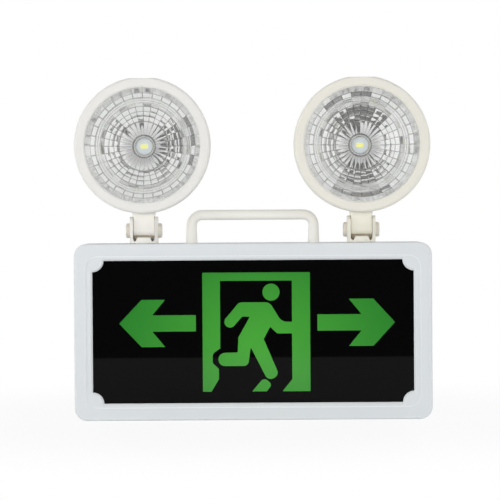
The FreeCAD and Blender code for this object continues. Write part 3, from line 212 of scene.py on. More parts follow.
LIGHT_MIDDLE = (0.0, 0.0, 0.14)


def soft_box(name, place, width, height, power):
    """A rectangular lamp that faces the exit light; mirrors show the room in its place."""
    data = bpy.data.lights.new(name, "AREA")
    data.shape = "RECTANGLE"
    data.size, data.size_y = width, height
    data.energy = power
    lamp = bpy.data.objects.new(name, data)
    lamp.location = place
    lamp.rotation_euler = (Vector(LIGHT_MIDDLE) - Vector(place)).to_track_quat("-Z", "Y").to_euler()
    lamp.visible_camera = lamp.visible_glossy = lamp.visible_transmission = False
    bpy.context.scene.collection.objects.link(lamp)


soft_box("soft_box_left", (-1.30, -0.90, 0.30), 0.6, 1.0, 6.4)
soft_box("soft_box_right", (1.30, -0.80, 0.30), 0.8, 0.9, 4.5)
soft_box("soft_box_top", (0.0, -0.75, 1.45), 1.5, 0.4, 0.8)
soft_box("front_fill", (-0.4, -2.4, 0.26), 1.6, 0.42, 23.0)
soft_box("back_fill", (0.8, 1.7, 0.8), 1.2, 0.8, 9.0)


def flag(name, corners):
    """A dark card near a lamp head; only mirrors, and rays that have passed a clear cover, meet it."""
    card = sheet_object(name, corners, [(0, 1, 2, 3)])
    card.data.materials.append(plain_material(name, (0.14, 0.14, 0.14), 0.8)[0])
    card.visible_camera = card.visible_diffuse = card.visible_shadow = False


def level_card(left, right, front, back, z):
    """The corners of a level card between its four edges, at a height."""
    return [(left, back, z), (left, front, z), (right, front, z), (right, back, z)]


flag("flag_left", [(-0.19, -0.06, 0.15), (-0.19, -0.10, 0.15), (-0.19, -0.10, 0.25), (-0.19, -0.06, 0.25)])
flag("flag_right", level_card(0.03, 0.16, -0.078, -0.035, 0.14))
flag("flag_over", level_card(0.04, 0.14, -0.078, -0.048, 0.29))

CAMERA_DISTANCE = 1.8
VIEW_WIDTH = 0.3904
VIEW_CENTRE = Vector((-0.0022, -0.024, 0.133))
CAMERA_RISE = 0.029
CAMERA_ROLL = math.radians(-0.36)
SENSOR_W = 36.0
camera_data = bpy.data.cameras.new("camera")
camera_data.sensor_width = SENSOR_W
camera_data.lens = SENSOR_W * CAMERA_DISTANCE / VIEW_WIDTH
camera = bpy.data.objects.new("camera", camera_data)
bpy.context.scene.collection.objects.link(camera)
camera.location = VIEW_CENTRE + Vector((0.0, -CAMERA_DISTANCE, CAMERA_RISE))
aim = (VIEW_CENTRE - camera.location).to_track_quat("-Z", "Y").to_matrix()
camera.rotation_euler = (aim @ Matrix.Rotation(CAMERA_ROLL, 3, "Z")).to_euler()
bpy.context.scene.camera = camera
bpy.context.scene.view_settings.view_transform = "Standard"

# ------------------------------------------------------------------ moulded casing
# The front frame, rear tray and handle are moulded ABS with a fine spark-eroded grain. The colour drifts a
# little over large areas, the grain breaks up the gloss, and a highlight is painted along the casing's
# edges.


def grain_group():
    """Fine even grain for moulded plastic: a tone that drifts, a roughness that sways and a height."""
    group = bpy.data.node_groups.new("moulded_grain", "ShaderNodeTree")
    group.interface.new_socket("Colour", in_out="INPUT", socket_type="NodeSocketColor")
    for name, start in (("Drift", 0.03), ("Roughness", 0.3), ("Sway", 0.12), ("Grain", 2200.0)):
        socket = group.interface.new_socket(name, in_out="INPUT", socket_type="NodeSocketFloat")
        socket.default_value = start
    group.interface.new_socket("Colour", in_out="OUTPUT", socket_type="NodeSocketColor")
    group.interface.new_socket("Roughness", in_out="OUTPUT", socket_type="NodeSocketFloat")
    group.interface.new_socket("Height", in_out="OUTPUT", socket_type="NodeSocketFloat")
    nodes, links = group.nodes, group.links
    given = nodes.new("NodeGroupInput")
    made = nodes.new("NodeGroupOutput")
    place = add_node(nodes, "TexCoord")
    cloud = add_node(nodes, "TexNoise", {"Scale": 22.0, "Detail": 3.0})
    grain = add_node(nodes, "TexNoise", {"Detail": 2.0})
    offset = add_node(nodes, "Math", {1: 0.5}, operation="SUBTRACT")
    drift = add_node(nodes, "Math", operation="MULTIPLY")
    gain = add_node(nodes, "Math", {1: 1.0}, operation="ADD")
    tint = add_node(nodes, "VectorMath", operation="SCALE")
    rough = add_node(nodes, "Math", operation="MULTIPLY_ADD")
    links.new(place.outputs["Object"], cloud.inputs["Vector"])
    links.new(cloud.outputs["Fac"], offset.inputs[0])
    links.new(offset.outputs[0], drift.inputs[0])
    links.new(given.outputs["Drift"], drift.inputs[1])
    links.new(drift.outputs[0], gain.inputs[0])
    links.new(given.outputs["Colour"], tint.inputs[0])
    links.new(gain.outputs[0], tint.inputs["Scale"])
    links.new(tint.outputs[0], made.inputs["Colour"])
    links.new(cloud.outputs["Fac"], rough.inputs[0])
    links.new(given.outputs["Sway"], rough.inputs[1])
    links.new(given.outputs["Roughness"], rough.inputs[2])
    links.new(rough.outputs[0], made.inputs["Roughness"])
    links.new(place.outputs["Object"], grain.inputs["Vector"])
    links.new(given.outputs["Grain"], grain.inputs["Scale"])
    links.new(grain.outputs["Fac"], made.inputs["Height"])
    return group


MOULDED_GRAIN = grain_group()


def moulded(name, colour, roughness, drift=0.03, grain=2200.0, depth=0.02 * MM, sway=0.12):
    """A moulded plastic: the grain group placed in a Principled material with its own values."""
    material, tree, shader = plain_material(name, colour, roughness)
    group = add_node(
        tree.nodes,
        "Group",
        {"Colour": (*colour, 1.0), "Drift": drift, "Roughness": roughness, "Sway": sway, "Grain": grain},
        node_tree=MOULDED_GRAIN,
    )
    bump = add_node(tree.nodes, "Bump", {"Distance": depth})
    tree.links.new(group.outputs["Colour"], shader.inputs["Base Color"])
    tree.links.new(group.outputs["Roughness"], shader.inputs["Roughness"])
    tree.links.new(group.outputs["Height"], bump.inputs["Height"])
    tree.links.new(bump.outputs["Normal"], shader.inputs["Normal"])
    return material


def dress(material, *nodes):
    """Gives CAD nodes a material in place of the plain one they came with."""
    for node in nodes:
        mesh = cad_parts[node].data
        mesh.materials.clear()
        mesh.materials.append(material)


def paint_edge_highlight(material, reach, colour):
    """Paints a highlight into the plastic near a sharp edge, where the bevelled normal leaves the face's
    own.
    """
    tree = material.node_tree
    shader = tree.nodes["Principled BSDF"]
    tone = shader.inputs["Base Color"].links[0].from_socket
    softened = add_node(tree.nodes, "Bevel", {"Radius": reach}, samples=6)
    face = add_node(tree.nodes, "NewGeometry")
    agree = add_node(tree.nodes, "VectorMath", operation="DOT_PRODUCT")
    edge = add_node(
        tree.nodes, "MapRange", {"From Min": 0.99, "From Max": 0.90}, interpolation_type="SMOOTHSTEP"
    )
    painted_edge = add_node(tree.nodes, "Mix", {"B": (*colour, 1)}, data_type="RGBA")
    tree.links.new(softened.outputs["Normal"], agree.inputs[0])
    tree.links.new(face.outputs["Normal"], agree.inputs[1])
    tree.links.new(agree.outputs["Value"], edge.inputs["Value"])
    tree.links.new(edge.outputs["Result"], painted_edge.inputs["Factor"])
    tree.links.new(tone, painted_edge.inputs["A"])
    tree.links.new(painted_edge.outputs["Result"], shader.inputs["Base Color"])
    return material


EDGE_REACH = 1.2 * MM
casing_white = moulded("casing_white", (0.705, 0.735, 0.753), 0.28)
# The casing's sharp edges carry a painted highlight: a lighter colour where their rounding catches the
# light.
dress(paint_edge_highlight(casing_white, EDGE_REACH, (0.86, 0.89, 0.91)), "front_frame", "rear_housing")
dress(moulded("handle_white", (0.86, 0.845, 0.79), 0.30), "handle")

# ------------------------------------------------------------------ sign panel
# A glossy black acrylic sheet with the standard running figure, door and arrows left clear in front of a
# green film. The sheet lies loose behind the window's ears.
panel_low, panel_high = (Vector(corner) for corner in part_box("sign_panel"))
panel_middle = (panel_low + panel_high) / 2
panel_black = moulded("sign_black", (0.0022, 0.0022, 0.0024), 0.01, drift=0.2, depth=0.0, sway=0.02)
panel_black.node_tree.nodes["Principled BSDF"].inputs["Specular IOR Level"].default_value = 0.13
dress(panel_black, "sign_panel")

PRINT_RISE = 0.06 * MM
ARC_STEPS = 9


def rounded(corners):
    """Outline from (x, z, radius) corners in millimetres, each made an arc tangent to both its sides.

    With unit vectors a and b along the two sides and half the angle between them h, the arc starts and
    ends radius / tan(h) from the corner, and its centre lies radius / sin(h) away along a + b.
    """
    table = np.asarray(corners, dtype=float)
    p, radius = table[:, :2], table[:, 2:3]
    a = np.roll(p, 1, axis=0) - p
    b = np.roll(p, -1, axis=0) - p
    a /= np.linalg.norm(a, axis=1, keepdims=True)
    b /= np.linalg.norm(b, axis=1, keepdims=True)
    half = 0.5 * np.arccos(np.clip((a * b).sum(axis=1, keepdims=True), -1.0, 1.0))
    middle = a + b
    middle /= np.linalg.norm(middle, axis=1, keepdims=True)
    centre = p + middle * radius / np.sin(half)
    start = p + a * radius / np.tan(half) - centre
    end = p + b * radius / np.tan(half) - centre
    share = np.linspace(0.0, 1.0, ARC_STEPS)[None, :, None]
    spread = math.pi - 2 * half[:, :, None]
    safe = np.maximum(np.sin(spread), 1e-9)
    arc = (np.sin((1 - share) * spread) * start[:, None] + np.sin(share * spread) * end[:, None]) / safe
    points = centre[:, None] + arc
    sharp = (radius < 1e-6)[:, 0]
    flat = [points[n] if not sharp[n] else p[n : n + 1] for n in range(len(p))]
    return np.concatenate(flat)


def printed(name, outline):
    """A clear field of the sign, as a thin green sheet just in front of the panel that faces outwards."""
    x = panel_middle.x + outline[:, 0] * MM
    z = panel_middle.z + outline[:, 1] * MM
    y = np.full(len(outline), panel_low.y - PRINT_RISE)
    order = np.arange(len(outline))
    area = np.sum(x * np.roll(z, -1) - np.roll(x, -1) * z)
    piece = sheet_object(name, np.stack([x, y, z], axis=-1), [order if area > 0 else order[::-1]])
    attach(piece, "box")
    piece.data.materials.append(sign_green)


def green_film():
    """Green with a painted pool of light: brightest in the lower middle of the sign, fading towards its top
    and ends.
    """
    material, tree, shader = plain_material("sign_green", (0.066, 0.40, 0.045), 0.10)
    place = add_node(tree.nodes, "TexCoord")
    away = add_node(tree.nodes, "VectorMath", operation="LENGTH")
    stretch = add_node(
        tree.nodes, "VectorMath", {1: (1.0, 0.0, 1.5), 2: (-0.005, 0.0, -0.090)}, operation="MULTIPLY_ADD"
    )
    reach = add_node(tree.nodes, "MapRange", {"From Min": 0.01, "From Max": 0.115})
    shade = add_node(
        tree.nodes, "Mix", {"A": (0.066, 0.375, 0.042, 1), "B": (0.024, 0.215, 0.025, 1)}, data_type="RGBA"
    )
    tree.links.new(place.outputs["Object"], stretch.inputs[0])
    tree.links.new(stretch.outputs[0], away.inputs[0])
    tree.links.new(away.outputs["Value"], reach.inputs["Value"])
    tree.links.new(reach.outputs["Result"], shade.inputs["Factor"])
    tree.links.new(shade.outputs["Result"], shader.inputs["Base Color"])
    return material


# The green film carries painted light, brightest in its lower middle.
sign_green = green_film()

DOOR_LEFT, DOOR_RIGHT, DOOR_TOP, DOOR_FOOT = -39.7, 44.5, 46.2, -47.0
POST_LEFT, POST_RIGHT, LINTEL = -25.9, 30.3, 39.7
door = [
    (DOOR_LEFT, DOOR_TOP, 0.6),
    (DOOR_LEFT, DOOR_FOOT, 0.3),
    (-33.0, DOOR_FOOT, 0.3),
    (-27.1, -37.3, 0.8),
    (-27.1, -29.2, 0.8),
    (-31.9, -24.6, 3.5),
    (-31.9, -17.4, 3.5),
    (POST_LEFT, -13.0, 0.5),
    (POST_LEFT, LINTEL, 0.3),
    (POST_RIGHT, LINTEL, 0.3),
    (POST_RIGHT, -37.5, 0.8),
    (22.6, DOOR_FOOT, 0.3),
    (DOOR_RIGHT, DOOR_FOOT, 0.3),
    (DOOR_RIGHT, DOOR_TOP, 0.6),
]
printed("print_door", rounded(door))

runner = [
    (POST_RIGHT, 7.5, 0.0),
    (22.1, 7.5, 8.0),
    (12.9, 22.8, 6.0),
    (-11.0, 22.9, 5.0),
    (-24.3, 7.1, 4.3),
    (-17.7, 1.3, 4.3),
    (-8.7, 11.7, 2.0),
    (-2.6, 11.6, 0.4),
    (-11.7, -4.5, 1.6),
    (-12.3, -16.3, 0.8),
    (-27.4, -16.7, 5.1),
    (-27.4, -27.0, 5.1),
    (-4.2, -27.0, 4.0),
    (-2.1, -12.4, 0.3),
    (11.4, -38.9, 4.7),
    (20.2, -34.4, 4.7),
    (8.1, -6.0, 0.8),
    (13.2, 3.6, 0.5),
    (18.7, -1.7, 3.0),
    (POST_RIGHT, -1.7, 0.0),
]
printed("print_runner", rounded(runner))
runner_foot = [(-1.2, DOOR_FOOT, 0.2), (8.3, -35.9, 3.6), (14.4, -41.6, 2.6), (10.3, DOOR_FOOT, 0.2)]
printed("print_runner_foot", rounded(runner_foot))

HEAD_PLACE, HEAD_DOT_R, HEAD_POINTS = (14.0, 30.7), 6.7, 48
turn = np.linspace(0.0, 2 * math.pi, HEAD_POINTS, endpoint=False)
circle = np.stack([np.cos(turn), np.sin(turn)], axis=-1)
printed("print_runner_head", circle * HEAD_DOT_R + HEAD_PLACE)

ARROW_Z, SHAFT_HALF, BARB_HALF = 6.7, 6.4, 18.5
CORNER_R, TIP_R = 0.3, 0.5


def arrow(tip_x, barb_x, heel_x, notch_x, tail_x):
    """An arrow along X: a shaft from its tail to the notch, and a barbed head from its heel to its tip."""
    half = [(tail_x, SHAFT_HALF), (notch_x, SHAFT_HALF), (heel_x, BARB_HALF), (barb_x, BARB_HALF)]
    upper = [(x, z, CORNER_R) for x, z in half]
    lower = [(x, -z, CORNER_R) for x, z in reversed(half)]
    outline = rounded(upper + [(tip_x, 0.0, TIP_R)] + lower)
    outline[:, 1] += ARROW_Z
    return outline


printed("print_arrow_left", arrow(-104.9, -87.4, -68.9, -79.0, -44.9))
printed("print_arrow_right", arrow(110.9, 94.0, 74.8, 84.7, 50.2))

# ------------------------------------------------------------------ lamp heads
# Each head is a moulded cup with a front ring that holds a clear cover, a vacuum-metallised bowl and one
# emitter on a round board. The head's neck is clamped between a turret's ears by a bolt with round heads.
GAP_REACH = 4 * MM


def paint_gap_shade(material):
    """Paints warm shade into the plastic where it closes in on itself: its gaps turn darker and brown."""
    tree = material.node_tree
    shader = tree.nodes["Principled BSDF"]
    tone = shader.inputs["Base Color"].links[0].from_socket
    # how shut in a point is sets the strength of the painted shade
    nearness = add_node(tree.nodes, "AmbientOcclusion", {"Distance": GAP_REACH}, samples=6)
    depth = add_node(
        tree.nodes, "MapRange", {"From Min": 0.50, "From Max": 0.15}, interpolation_type="SMOOTHSTEP"
    )
    shade_mix = add_node(tree.nodes, "Mix", {"B": (0.42, 0.26, 0.10, 1)}, data_type="RGBA")
    tree.links.new(nearness.outputs["AO"], depth.inputs["Value"])
    tree.links.new(depth.outputs["Result"], shade_mix.inputs["Factor"])
    tree.links.new(tone, shade_mix.inputs["A"])
    tree.links.new(shade_mix.outputs["Result"], shader.inputs["Base Color"])
    return material


head_white = {
    "left": moulded("head_white_left", (0.79, 0.78, 0.75), 0.30),
    "right": moulded("head_white_right", (0.79, 0.77, 0.695), 0.30),
}
# The swivel plastic has painted shade in its gaps, warm and dark where light is shut in.
swivel_white = {
    "left": paint_gap_shade(moulded("swivel_white_left", (0.88, 0.865, 0.815), 0.30)),
    "right": paint_gap_shade(moulded("swivel_white_right", (0.86, 0.84, 0.74), 0.30)),
}
bolt_white = moulded("bolt_white", (0.70, 0.66, 0.58), 0.32)


def clear_cover():
    """Clear polycarbonate with faint flow marks; light passes it straight and leaves no dark shadow."""
    material, tree, shader = plain_material("lens_clear", (1.0, 1.0, 1.0), 0.0, ior=1.45)
    shader.inputs["Transmission Weight"].default_value = 1.0
    place = add_node(tree.nodes, "TexCoord")
    flow = add_node(tree.nodes, "TexNoise", {"Scale": 60.0})
    clearness = add_node(
        tree.nodes, "Mix", {"A": (0.97, 0.98, 0.98, 1), "B": (1.0, 1.0, 1.0, 1)}, data_type="RGBA"
    )
    tree.links.new(place.outputs["Object"], flow.inputs["Vector"])
    tree.links.new(flow.outputs["Fac"], clearness.inputs["Factor"])
    tree.links.new(clearness.outputs["Result"], shader.inputs["Base Color"])
    seen = add_node(tree.nodes, "LightPath")
    straight = add_node(tree.nodes, "BsdfTransparent")
    blend = add_node(tree.nodes, "MixShader")
    tree.links.new(seen.outputs["Is Shadow Ray"], blend.inputs["Fac"])
    tree.links.new(shader.outputs[0], blend.inputs[1])
    tree.links.new(straight.outputs[0], blend.inputs[2])
    tree.links.new(blend.outputs[0], tree.nodes["Material Output"].inputs["Surface"])
    return material


lens_material = clear_cover()

# The bowl's rows count from the hole: collar, flutes, three rows of pillows, ring, long cells, lip.
ROWS = 8
# The valleys between cells are painted darker as shade; DARK_ROWS darken the tone as painted shade by the
# emitter.
VALLEY_HALF_WIDTHS, VALLEY_FLOOR = {"X": 0.09, "Y": 0.10}, 0.02
INNER_DEPTHS = [(1.6, 0.7), (2.0, 1.0), (4.96, 1.0)]
OUTER_DEPTHS = [(5.2, 0.15), (5.84, 0.15), (6.08, 1.0), (6.96, 1.0), (7.2, 0.2)]
INNER_LEANS = [(1.6, 0.0), (2.0, 0.0), (4.88, 0.3)]
OUTER_LEANS = [(5.04, 0.08), (5.92, 0.08), (6.08, 0.5), (6.96, 0.5), (7.12, 0.15)]
DARK_ROWS = (1.2, 2.05)
HAZY_ROWS = (4.9, 5.1)
SIDE_LEAN = 0.08


def row_ramp(nodes, stops):
    """A grey level along the bowl's rows, from (row, level) stops."""
    return grey_ramp(nodes, [(row / ROWS, grey) for row, grey in stops])


def cell_lines_group():
    """Tone and facing of the metallised bowl by its own columns and rows.

    The UV map counts columns along U and rows along V, from the hole outwards, so both run through whole
    numbers at the valleys between cells, where painted shade darkens the tone and the metal is rougher. A
    valley's mask grows from 0 to 1 as the distance to the nearest whole number falls from its half width,
    times the depth of its row. Painted shade also darkens the tone towards the emitter, and the metal is a
    little hazier outside the pillows. Each cell is cut at its own slant: its normal leans forwards by its
    row's amount, and sideways by one drawn for that cell.
    """
    group = bpy.data.node_groups.new("cell_lines", "ShaderNodeTree")
    group.interface.new_socket("Colour", in_out="OUTPUT", socket_type="NodeSocketColor")
    group.interface.new_socket("Roughness", in_out="OUTPUT", socket_type="NodeSocketFloat")
    group.interface.new_socket("Metallic", in_out="OUTPUT", socket_type="NodeSocketFloat")
    group.interface.new_socket("Normal", in_out="OUTPUT", socket_type="NodeSocketVector")
    nodes, links = group.nodes, group.links
    made = nodes.new("NodeGroupOutput")
    place = add_node(nodes, "UVMap")
    split = add_node(nodes, "SeparateXYZ")
    row_share = add_node(nodes, "Math", {1: 1 / ROWS}, operation="MULTIPLY")
    links.new(place.outputs["UV"], split.inputs[0])
    links.new(split.outputs["Y"], row_share.inputs[0])

    # the valleys between the cells, darkened with painted shade
    both = add_node(nodes, "Math", operation="MAXIMUM")
    for socket, (axis, half_width) in enumerate(VALLEY_HALF_WIDTHS.items()):
        near = add_node(nodes, "Math", {1: 0.5}, operation="PINGPONG")
        limits = {"From Min": half_width, "From Max": VALLEY_FLOOR}
        mask = add_node(nodes, "MapRange", limits, interpolation_type="SMOOTHSTEP")
        links.new(split.outputs[axis], near.inputs[0])
        links.new(near.outputs[0], mask.inputs["Value"])
        links.new(mask.outputs["Result"], both.inputs[socket])
    depth = row_ramp(nodes, INNER_DEPTHS + OUTER_DEPTHS)
    valley = add_node(nodes, "Math", operation="MULTIPLY")
    links.new(row_share.outputs[0], depth.inputs["Fac"])
    links.new(both.outputs[0], valley.inputs[0])
    links.new(depth.outputs["Color"], valley.inputs[1])

    # tone, roughness and haze of the metal, with painted shade in the valleys and towards the emitter
    tone = add_node(
        nodes, "Mix", {"A": (0.98, 0.98, 0.97, 1), "B": (0.52, 0.52, 0.50, 1)}, data_type="RGBA"
    )
    # painted shade: the tone falls to three quarters in the deep rows round the hole
    deep_shade = add_node(nodes, "MapRange", {"To Min": 0.75})
    deep_shade.inputs["From Min"].default_value, deep_shade.inputs["From Max"].default_value = DARK_ROWS
    shaded_tone = add_node(nodes, "VectorMath", operation="SCALE")
    rough = add_node(nodes, "MapRange", {"To Min": 0.07, "To Max": 0.22})
    haze = add_node(nodes, "MapRange", {"To Min": 0.97, "To Max": 0.90})
    haze.inputs["From Min"].default_value, haze.inputs["From Max"].default_value = HAZY_ROWS
    links.new(valley.outputs[0], tone.inputs["Factor"])
    links.new(split.outputs["Y"], deep_shade.inputs["Value"])
    links.new(tone.outputs["Result"], shaded_tone.inputs[0])
    links.new(deep_shade.outputs["Result"], shaded_tone.inputs["Scale"])
    links.new(shaded_tone.outputs[0], made.inputs["Colour"])
    links.new(valley.outputs[0], rough.inputs["Value"])
    links.new(rough.outputs["Result"], made.inputs["Roughness"])
    links.new(split.outputs["Y"], haze.inputs["Value"])
    links.new(haze.outputs["Result"], made.inputs["Metallic"])

    # the slant of each cell, forwards by its row and sideways by its own draw
    lean = row_ramp(nodes, INNER_LEANS + OUTER_LEANS)
    forwards = add_node(nodes, "VectorMath", {1: (0.0, -1.0, 0.0)}, operation="MULTIPLY")
    cell = add_node(nodes, "VectorMath", operation="FLOOR")
    draw = add_node(nodes, "TexWhiteNoise", noise_dimensions="2D")
    spread = {1: (2 * SIDE_LEAN,) * 3, 2: (-SIDE_LEAN,) * 3}
    sideways = add_node(nodes, "VectorMath", spread, operation="MULTIPLY_ADD")
    face = add_node(nodes, "NewGeometry")
    leaning = add_node(nodes, "VectorMath", operation="ADD")
    turned = add_node(nodes, "VectorMath", operation="ADD")
    unit = add_node(nodes, "VectorMath", operation="NORMALIZE")
    links.new(row_share.outputs[0], lean.inputs["Fac"])
    links.new(lean.outputs["Color"], forwards.inputs[0])
    links.new(place.outputs["UV"], cell.inputs[0])
    links.new(cell.outputs[0], draw.inputs["Vector"])
    links.new(draw.outputs["Color"], sideways.inputs[0])
    links.new(face.outputs["Normal"], leaning.inputs[0])
    links.new(forwards.outputs[0], leaning.inputs[1])
    links.new(leaning.outputs[0], turned.inputs[0])
    links.new(sideways.outputs[0], turned.inputs[1])
    links.new(turned.outputs[0], unit.inputs[0])
    links.new(unit.outputs[0], made.inputs["Normal"])
    return group


mirror_material, tree, shader = plain_material("reflector_mirror", (0.90, 0.90, 0.90), 0.07, metallic=0.85)
lines = add_node(tree.nodes, "Group", node_tree=cell_lines_group())
tree.links.new(lines.outputs["Colour"], shader.inputs["Base Color"])
for name in ("Roughness", "Metallic", "Normal"):
    tree.links.new(lines.outputs[name], shader.inputs[name])

COLUMNS, COLUMN_STEPS, PILLOW_ROWS = 32, 12, 3
FLUTE_R, PILLOW_R, RING_R, CELL_R, MOUTH_R = 20.0 * MM, 31.1 * MM, 38.0 * MM, 41.3 * MM, 45.4 * MM
COLLAR_R, HOLE_R = 9.0 * MM, 6.6 * MM
LIP_RISE, CELL_RISE, RING_RISE = 0.22 * MM, 0.20 * MM, 0.04 * MM
PILLOW_RISE, PILLOW_SWELL, CELL_SWELL, FLUTE_RISE = 0.20 * MM, 0.10 * MM, 0.06 * MM, 0.34 * MM
BEAD_RISE, BEAD_HALF_W = 0.25 * MM, 0.55 * MM
BEAD_RADII = np.array([34.6, 36.2]) * MM
FLANGE_T, FLOOR_T, WALL_OUT, WALL_BACK = 1.3 * MM, 1.6 * MM, 1.2 * MM, 1.1 * MM
FLOOR_R = COLLAR_R - 0.4 * MM
COLLAR_ROUNDNESS = 0.9
ZONES = [
    (MOUTH_R, CELL_R, 8),
    (CELL_R, RING_R, 12),
    (RING_R, PILLOW_R, 28),
    (PILLOW_R, FLUTE_R, 36),
    (FLUTE_R, COLLAR_R, 24),
]
COLLAR_STEPS, BACK_POINTS = 8, 14
ROW_RADII = [HOLE_R, COLLAR_R, FLUTE_R, PILLOW_R, RING_R, CELL_R, MOUTH_R]
ROW_NUMBERS = [0, 1, 2, 2 + PILLOW_ROWS, ROWS - 2, ROWS - 1, ROWS]


def bowl_section(flange_r, front_y, depth):
    """Section of the bowl as (radius, y), from the flange in along its front and out along its back.

    The front is a parabola, y = flange + fall (mouth radius^2 - radius^2), with a collar of half an
    ellipse round the hole. The back is the same parabola, moved out and back by the wall.
    """
    flange_back = front_y + FLANGE_T
    fall = (front_y + depth - FLOOR_T - flange_back) / (MOUTH_R**2 - FLOOR_R**2)

    def parabola(r):
        """The reflecting curve's y at a radius."""
        return flange_back + fall * (MOUTH_R**2 - r**2)

    front_r = np.concatenate([np.linspace(*zone, endpoint=False) for zone in ZONES] + [[COLLAR_R]])
    turn = np.linspace(0.0, math.pi, COLLAR_STEPS + 1)[1:]
    collar_half = (COLLAR_R - HOLE_R) / 2
    collar_r = (COLLAR_R + HOLE_R) / 2 + collar_half * np.cos(turn)
    collar_y = parabola(COLLAR_R) - COLLAR_ROUNDNESS * collar_half * np.sin(turn)
    back_r = np.linspace(HOLE_R + FLANGE_T, MOUTH_R + WALL_OUT, BACK_POINTS)
    back_y = parabola(back_r - WALL_OUT) + WALL_BACK
    r = np.concatenate([[flange_r, MOUTH_R], front_r, collar_r, [HOLE_R], back_r, [flange_r]])
    y = np.concatenate(
        [[front_y, front_y], parabola(front_r), collar_y, [front_y + depth], back_y, [flange_back]]
    )
    front_index = slice(2, 2 + len(front_r))
    return r, y, front_index


def relief(r, theta):
    """Height of the bowl's cut pattern towards the light, in metres.

    With u and v running from -1 to 1 across a column and a row, an arch is 1 - u^2 and a swell 1 - v^2.
    The lip has arches that fade out at the mouth. The long cells and the short rows of pillows have an
    arch plus a swell. The ring between them has low arches under two half-round beads, and the flutes
    next to the emitter are taller arches that fade inwards.
    """
    column = theta * COLUMNS / (2 * math.pi)
    u = 2 * (column - np.floor(column)) - 1
    arch = 1 - u**2

    def across(inner, outer, count=1):
        """v, from -1 to 1 across each of a number of equal rows between two radii."""
        v = np.clip((r - inner) / (outer - inner), 0.0, 1.0 - 1e-9) * count
        return 2 * (v - np.floor(v)) - 1

    lip = LIP_RISE * arch * np.clip((MOUTH_R - r) / (MOUTH_R - CELL_R), 0, 1)
    cells = CELL_RISE * arch + CELL_SWELL * (1 - across(RING_R, CELL_R) ** 2)
    off_bead = (r - BEAD_RADII[:, None, None]) / BEAD_HALF_W
    beads = BEAD_RISE * np.sqrt(np.clip(1 - off_bead**2, 0, 1)).max(axis=0)
    ring = RING_RISE * arch + beads
    pillows = PILLOW_RISE * arch + PILLOW_SWELL * (1 - across(FLUTE_R, PILLOW_R, PILLOW_ROWS) ** 2)
    flutes = FLUTE_RISE * arch * r / FLUTE_R
    zones = [r >= CELL_R, r >= RING_R, r >= PILLOW_R, r >= FLUTE_R]
    zones = [np.broadcast_to(zone, (r + u).shape) for zone in zones]
    return np.select(zones, [lip, cells, ring, pillows], flutes)


def bowl(side):
    """The metallised bowl: its section turned about the head's axis, with the relief along its normals."""
    low, high = (Vector(corner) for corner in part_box(f"{side}_reflector"))
    middle = (low + high) / 2
    r, y, front = bowl_section((high.x - low.x) / 2, low.y, high.y - low.y)
    theta = np.linspace(0.0, 2 * math.pi, COLUMNS * COLUMN_STEPS, endpoint=False)
    radius = np.repeat(r[:, None], len(theta), axis=1)
    along = np.repeat(y[:, None], len(theta), axis=1)
    slope_r, slope_y = np.gradient(r), np.gradient(y)
    length = np.hypot(slope_r, slope_y)
    normal_r, normal_y = slope_y / length, -slope_r / length
    flip = np.where(normal_y[front].mean() > 0, -1.0, 1.0)
    raise_by = relief(radius[front], theta[None, :])
    radius[front] += flip * normal_r[front][:, None] * raise_by
    along[front] += flip * normal_y[front][:, None] * raise_by
    x = middle.x + radius * np.sin(theta)
    z = middle.z + radius * np.cos(theta)
    points = np.stack([x, along, z], axis=-1).reshape(-1, 3)
    faces = grid_faces(len(r), len(theta), close_rows=True, close_columns=True)
    piece = sheet_object(f"{side}_bowl", points, faces)
    piece.data.polygons.foreach_set("use_smooth", np.ones(len(piece.data.polygons), dtype=bool))
    column, row = faces % len(theta), faces // len(theta)
    last = column.max(axis=1, keepdims=True) == len(theta) - 1
    column = np.where(last & (column == 0), len(theta), column)
    uv = np.stack([column / COLUMN_STEPS, np.interp(r, ROW_RADII, ROW_NUMBERS)[row]], axis=-1)
    piece.data.uv_layers.new(name="cells").data.foreach_set("uv", uv.ravel())
    piece.data.materials.append(mirror_material)
    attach(piece, f"{side}_head")
    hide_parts(f"{side}_reflector")


chip_material = moulded("phosphor_painted_glow", (0.95, 0.93, 0.30), 0.45, drift=0.1, grain=6000.0)
chip_glow_shader = chip_material.node_tree.nodes["Principled BSDF"]
# The chips get a faint painted glow, a light that brightens them deep in the bowl.
chip_glow_shader.inputs["Emission Color"].default_value = (1.0, 0.95, 0.30, 1)
chip_glow_shader.inputs["Emission Strength"].default_value = 0.25
led_board = moulded("led_board", (0.87, 0.93, 0.98), 0.35)
for side in ("left", "right"):
    dress(head_white[side], f"{side}_head_rim")
    dress(swivel_white[side], f"{side}_head_shell", f"{side}_turret")
    dress(bolt_white, f"{side}_pivot_bolt", f"{side}_pivot_nut")
    dress(lens_material, f"{side}_head_lens")
    dress(led_board, f"{side}_led_board")
    dress(chip_material, f"{side}_led_emitter")
    bowl(side)

# ------------------------------------------------------------------ screws, clips and washers
# Zinc-plated screws and a rolled steel strap hold the inner parts; spring clips and nylon washers hold the
# turrets in the top of the box.


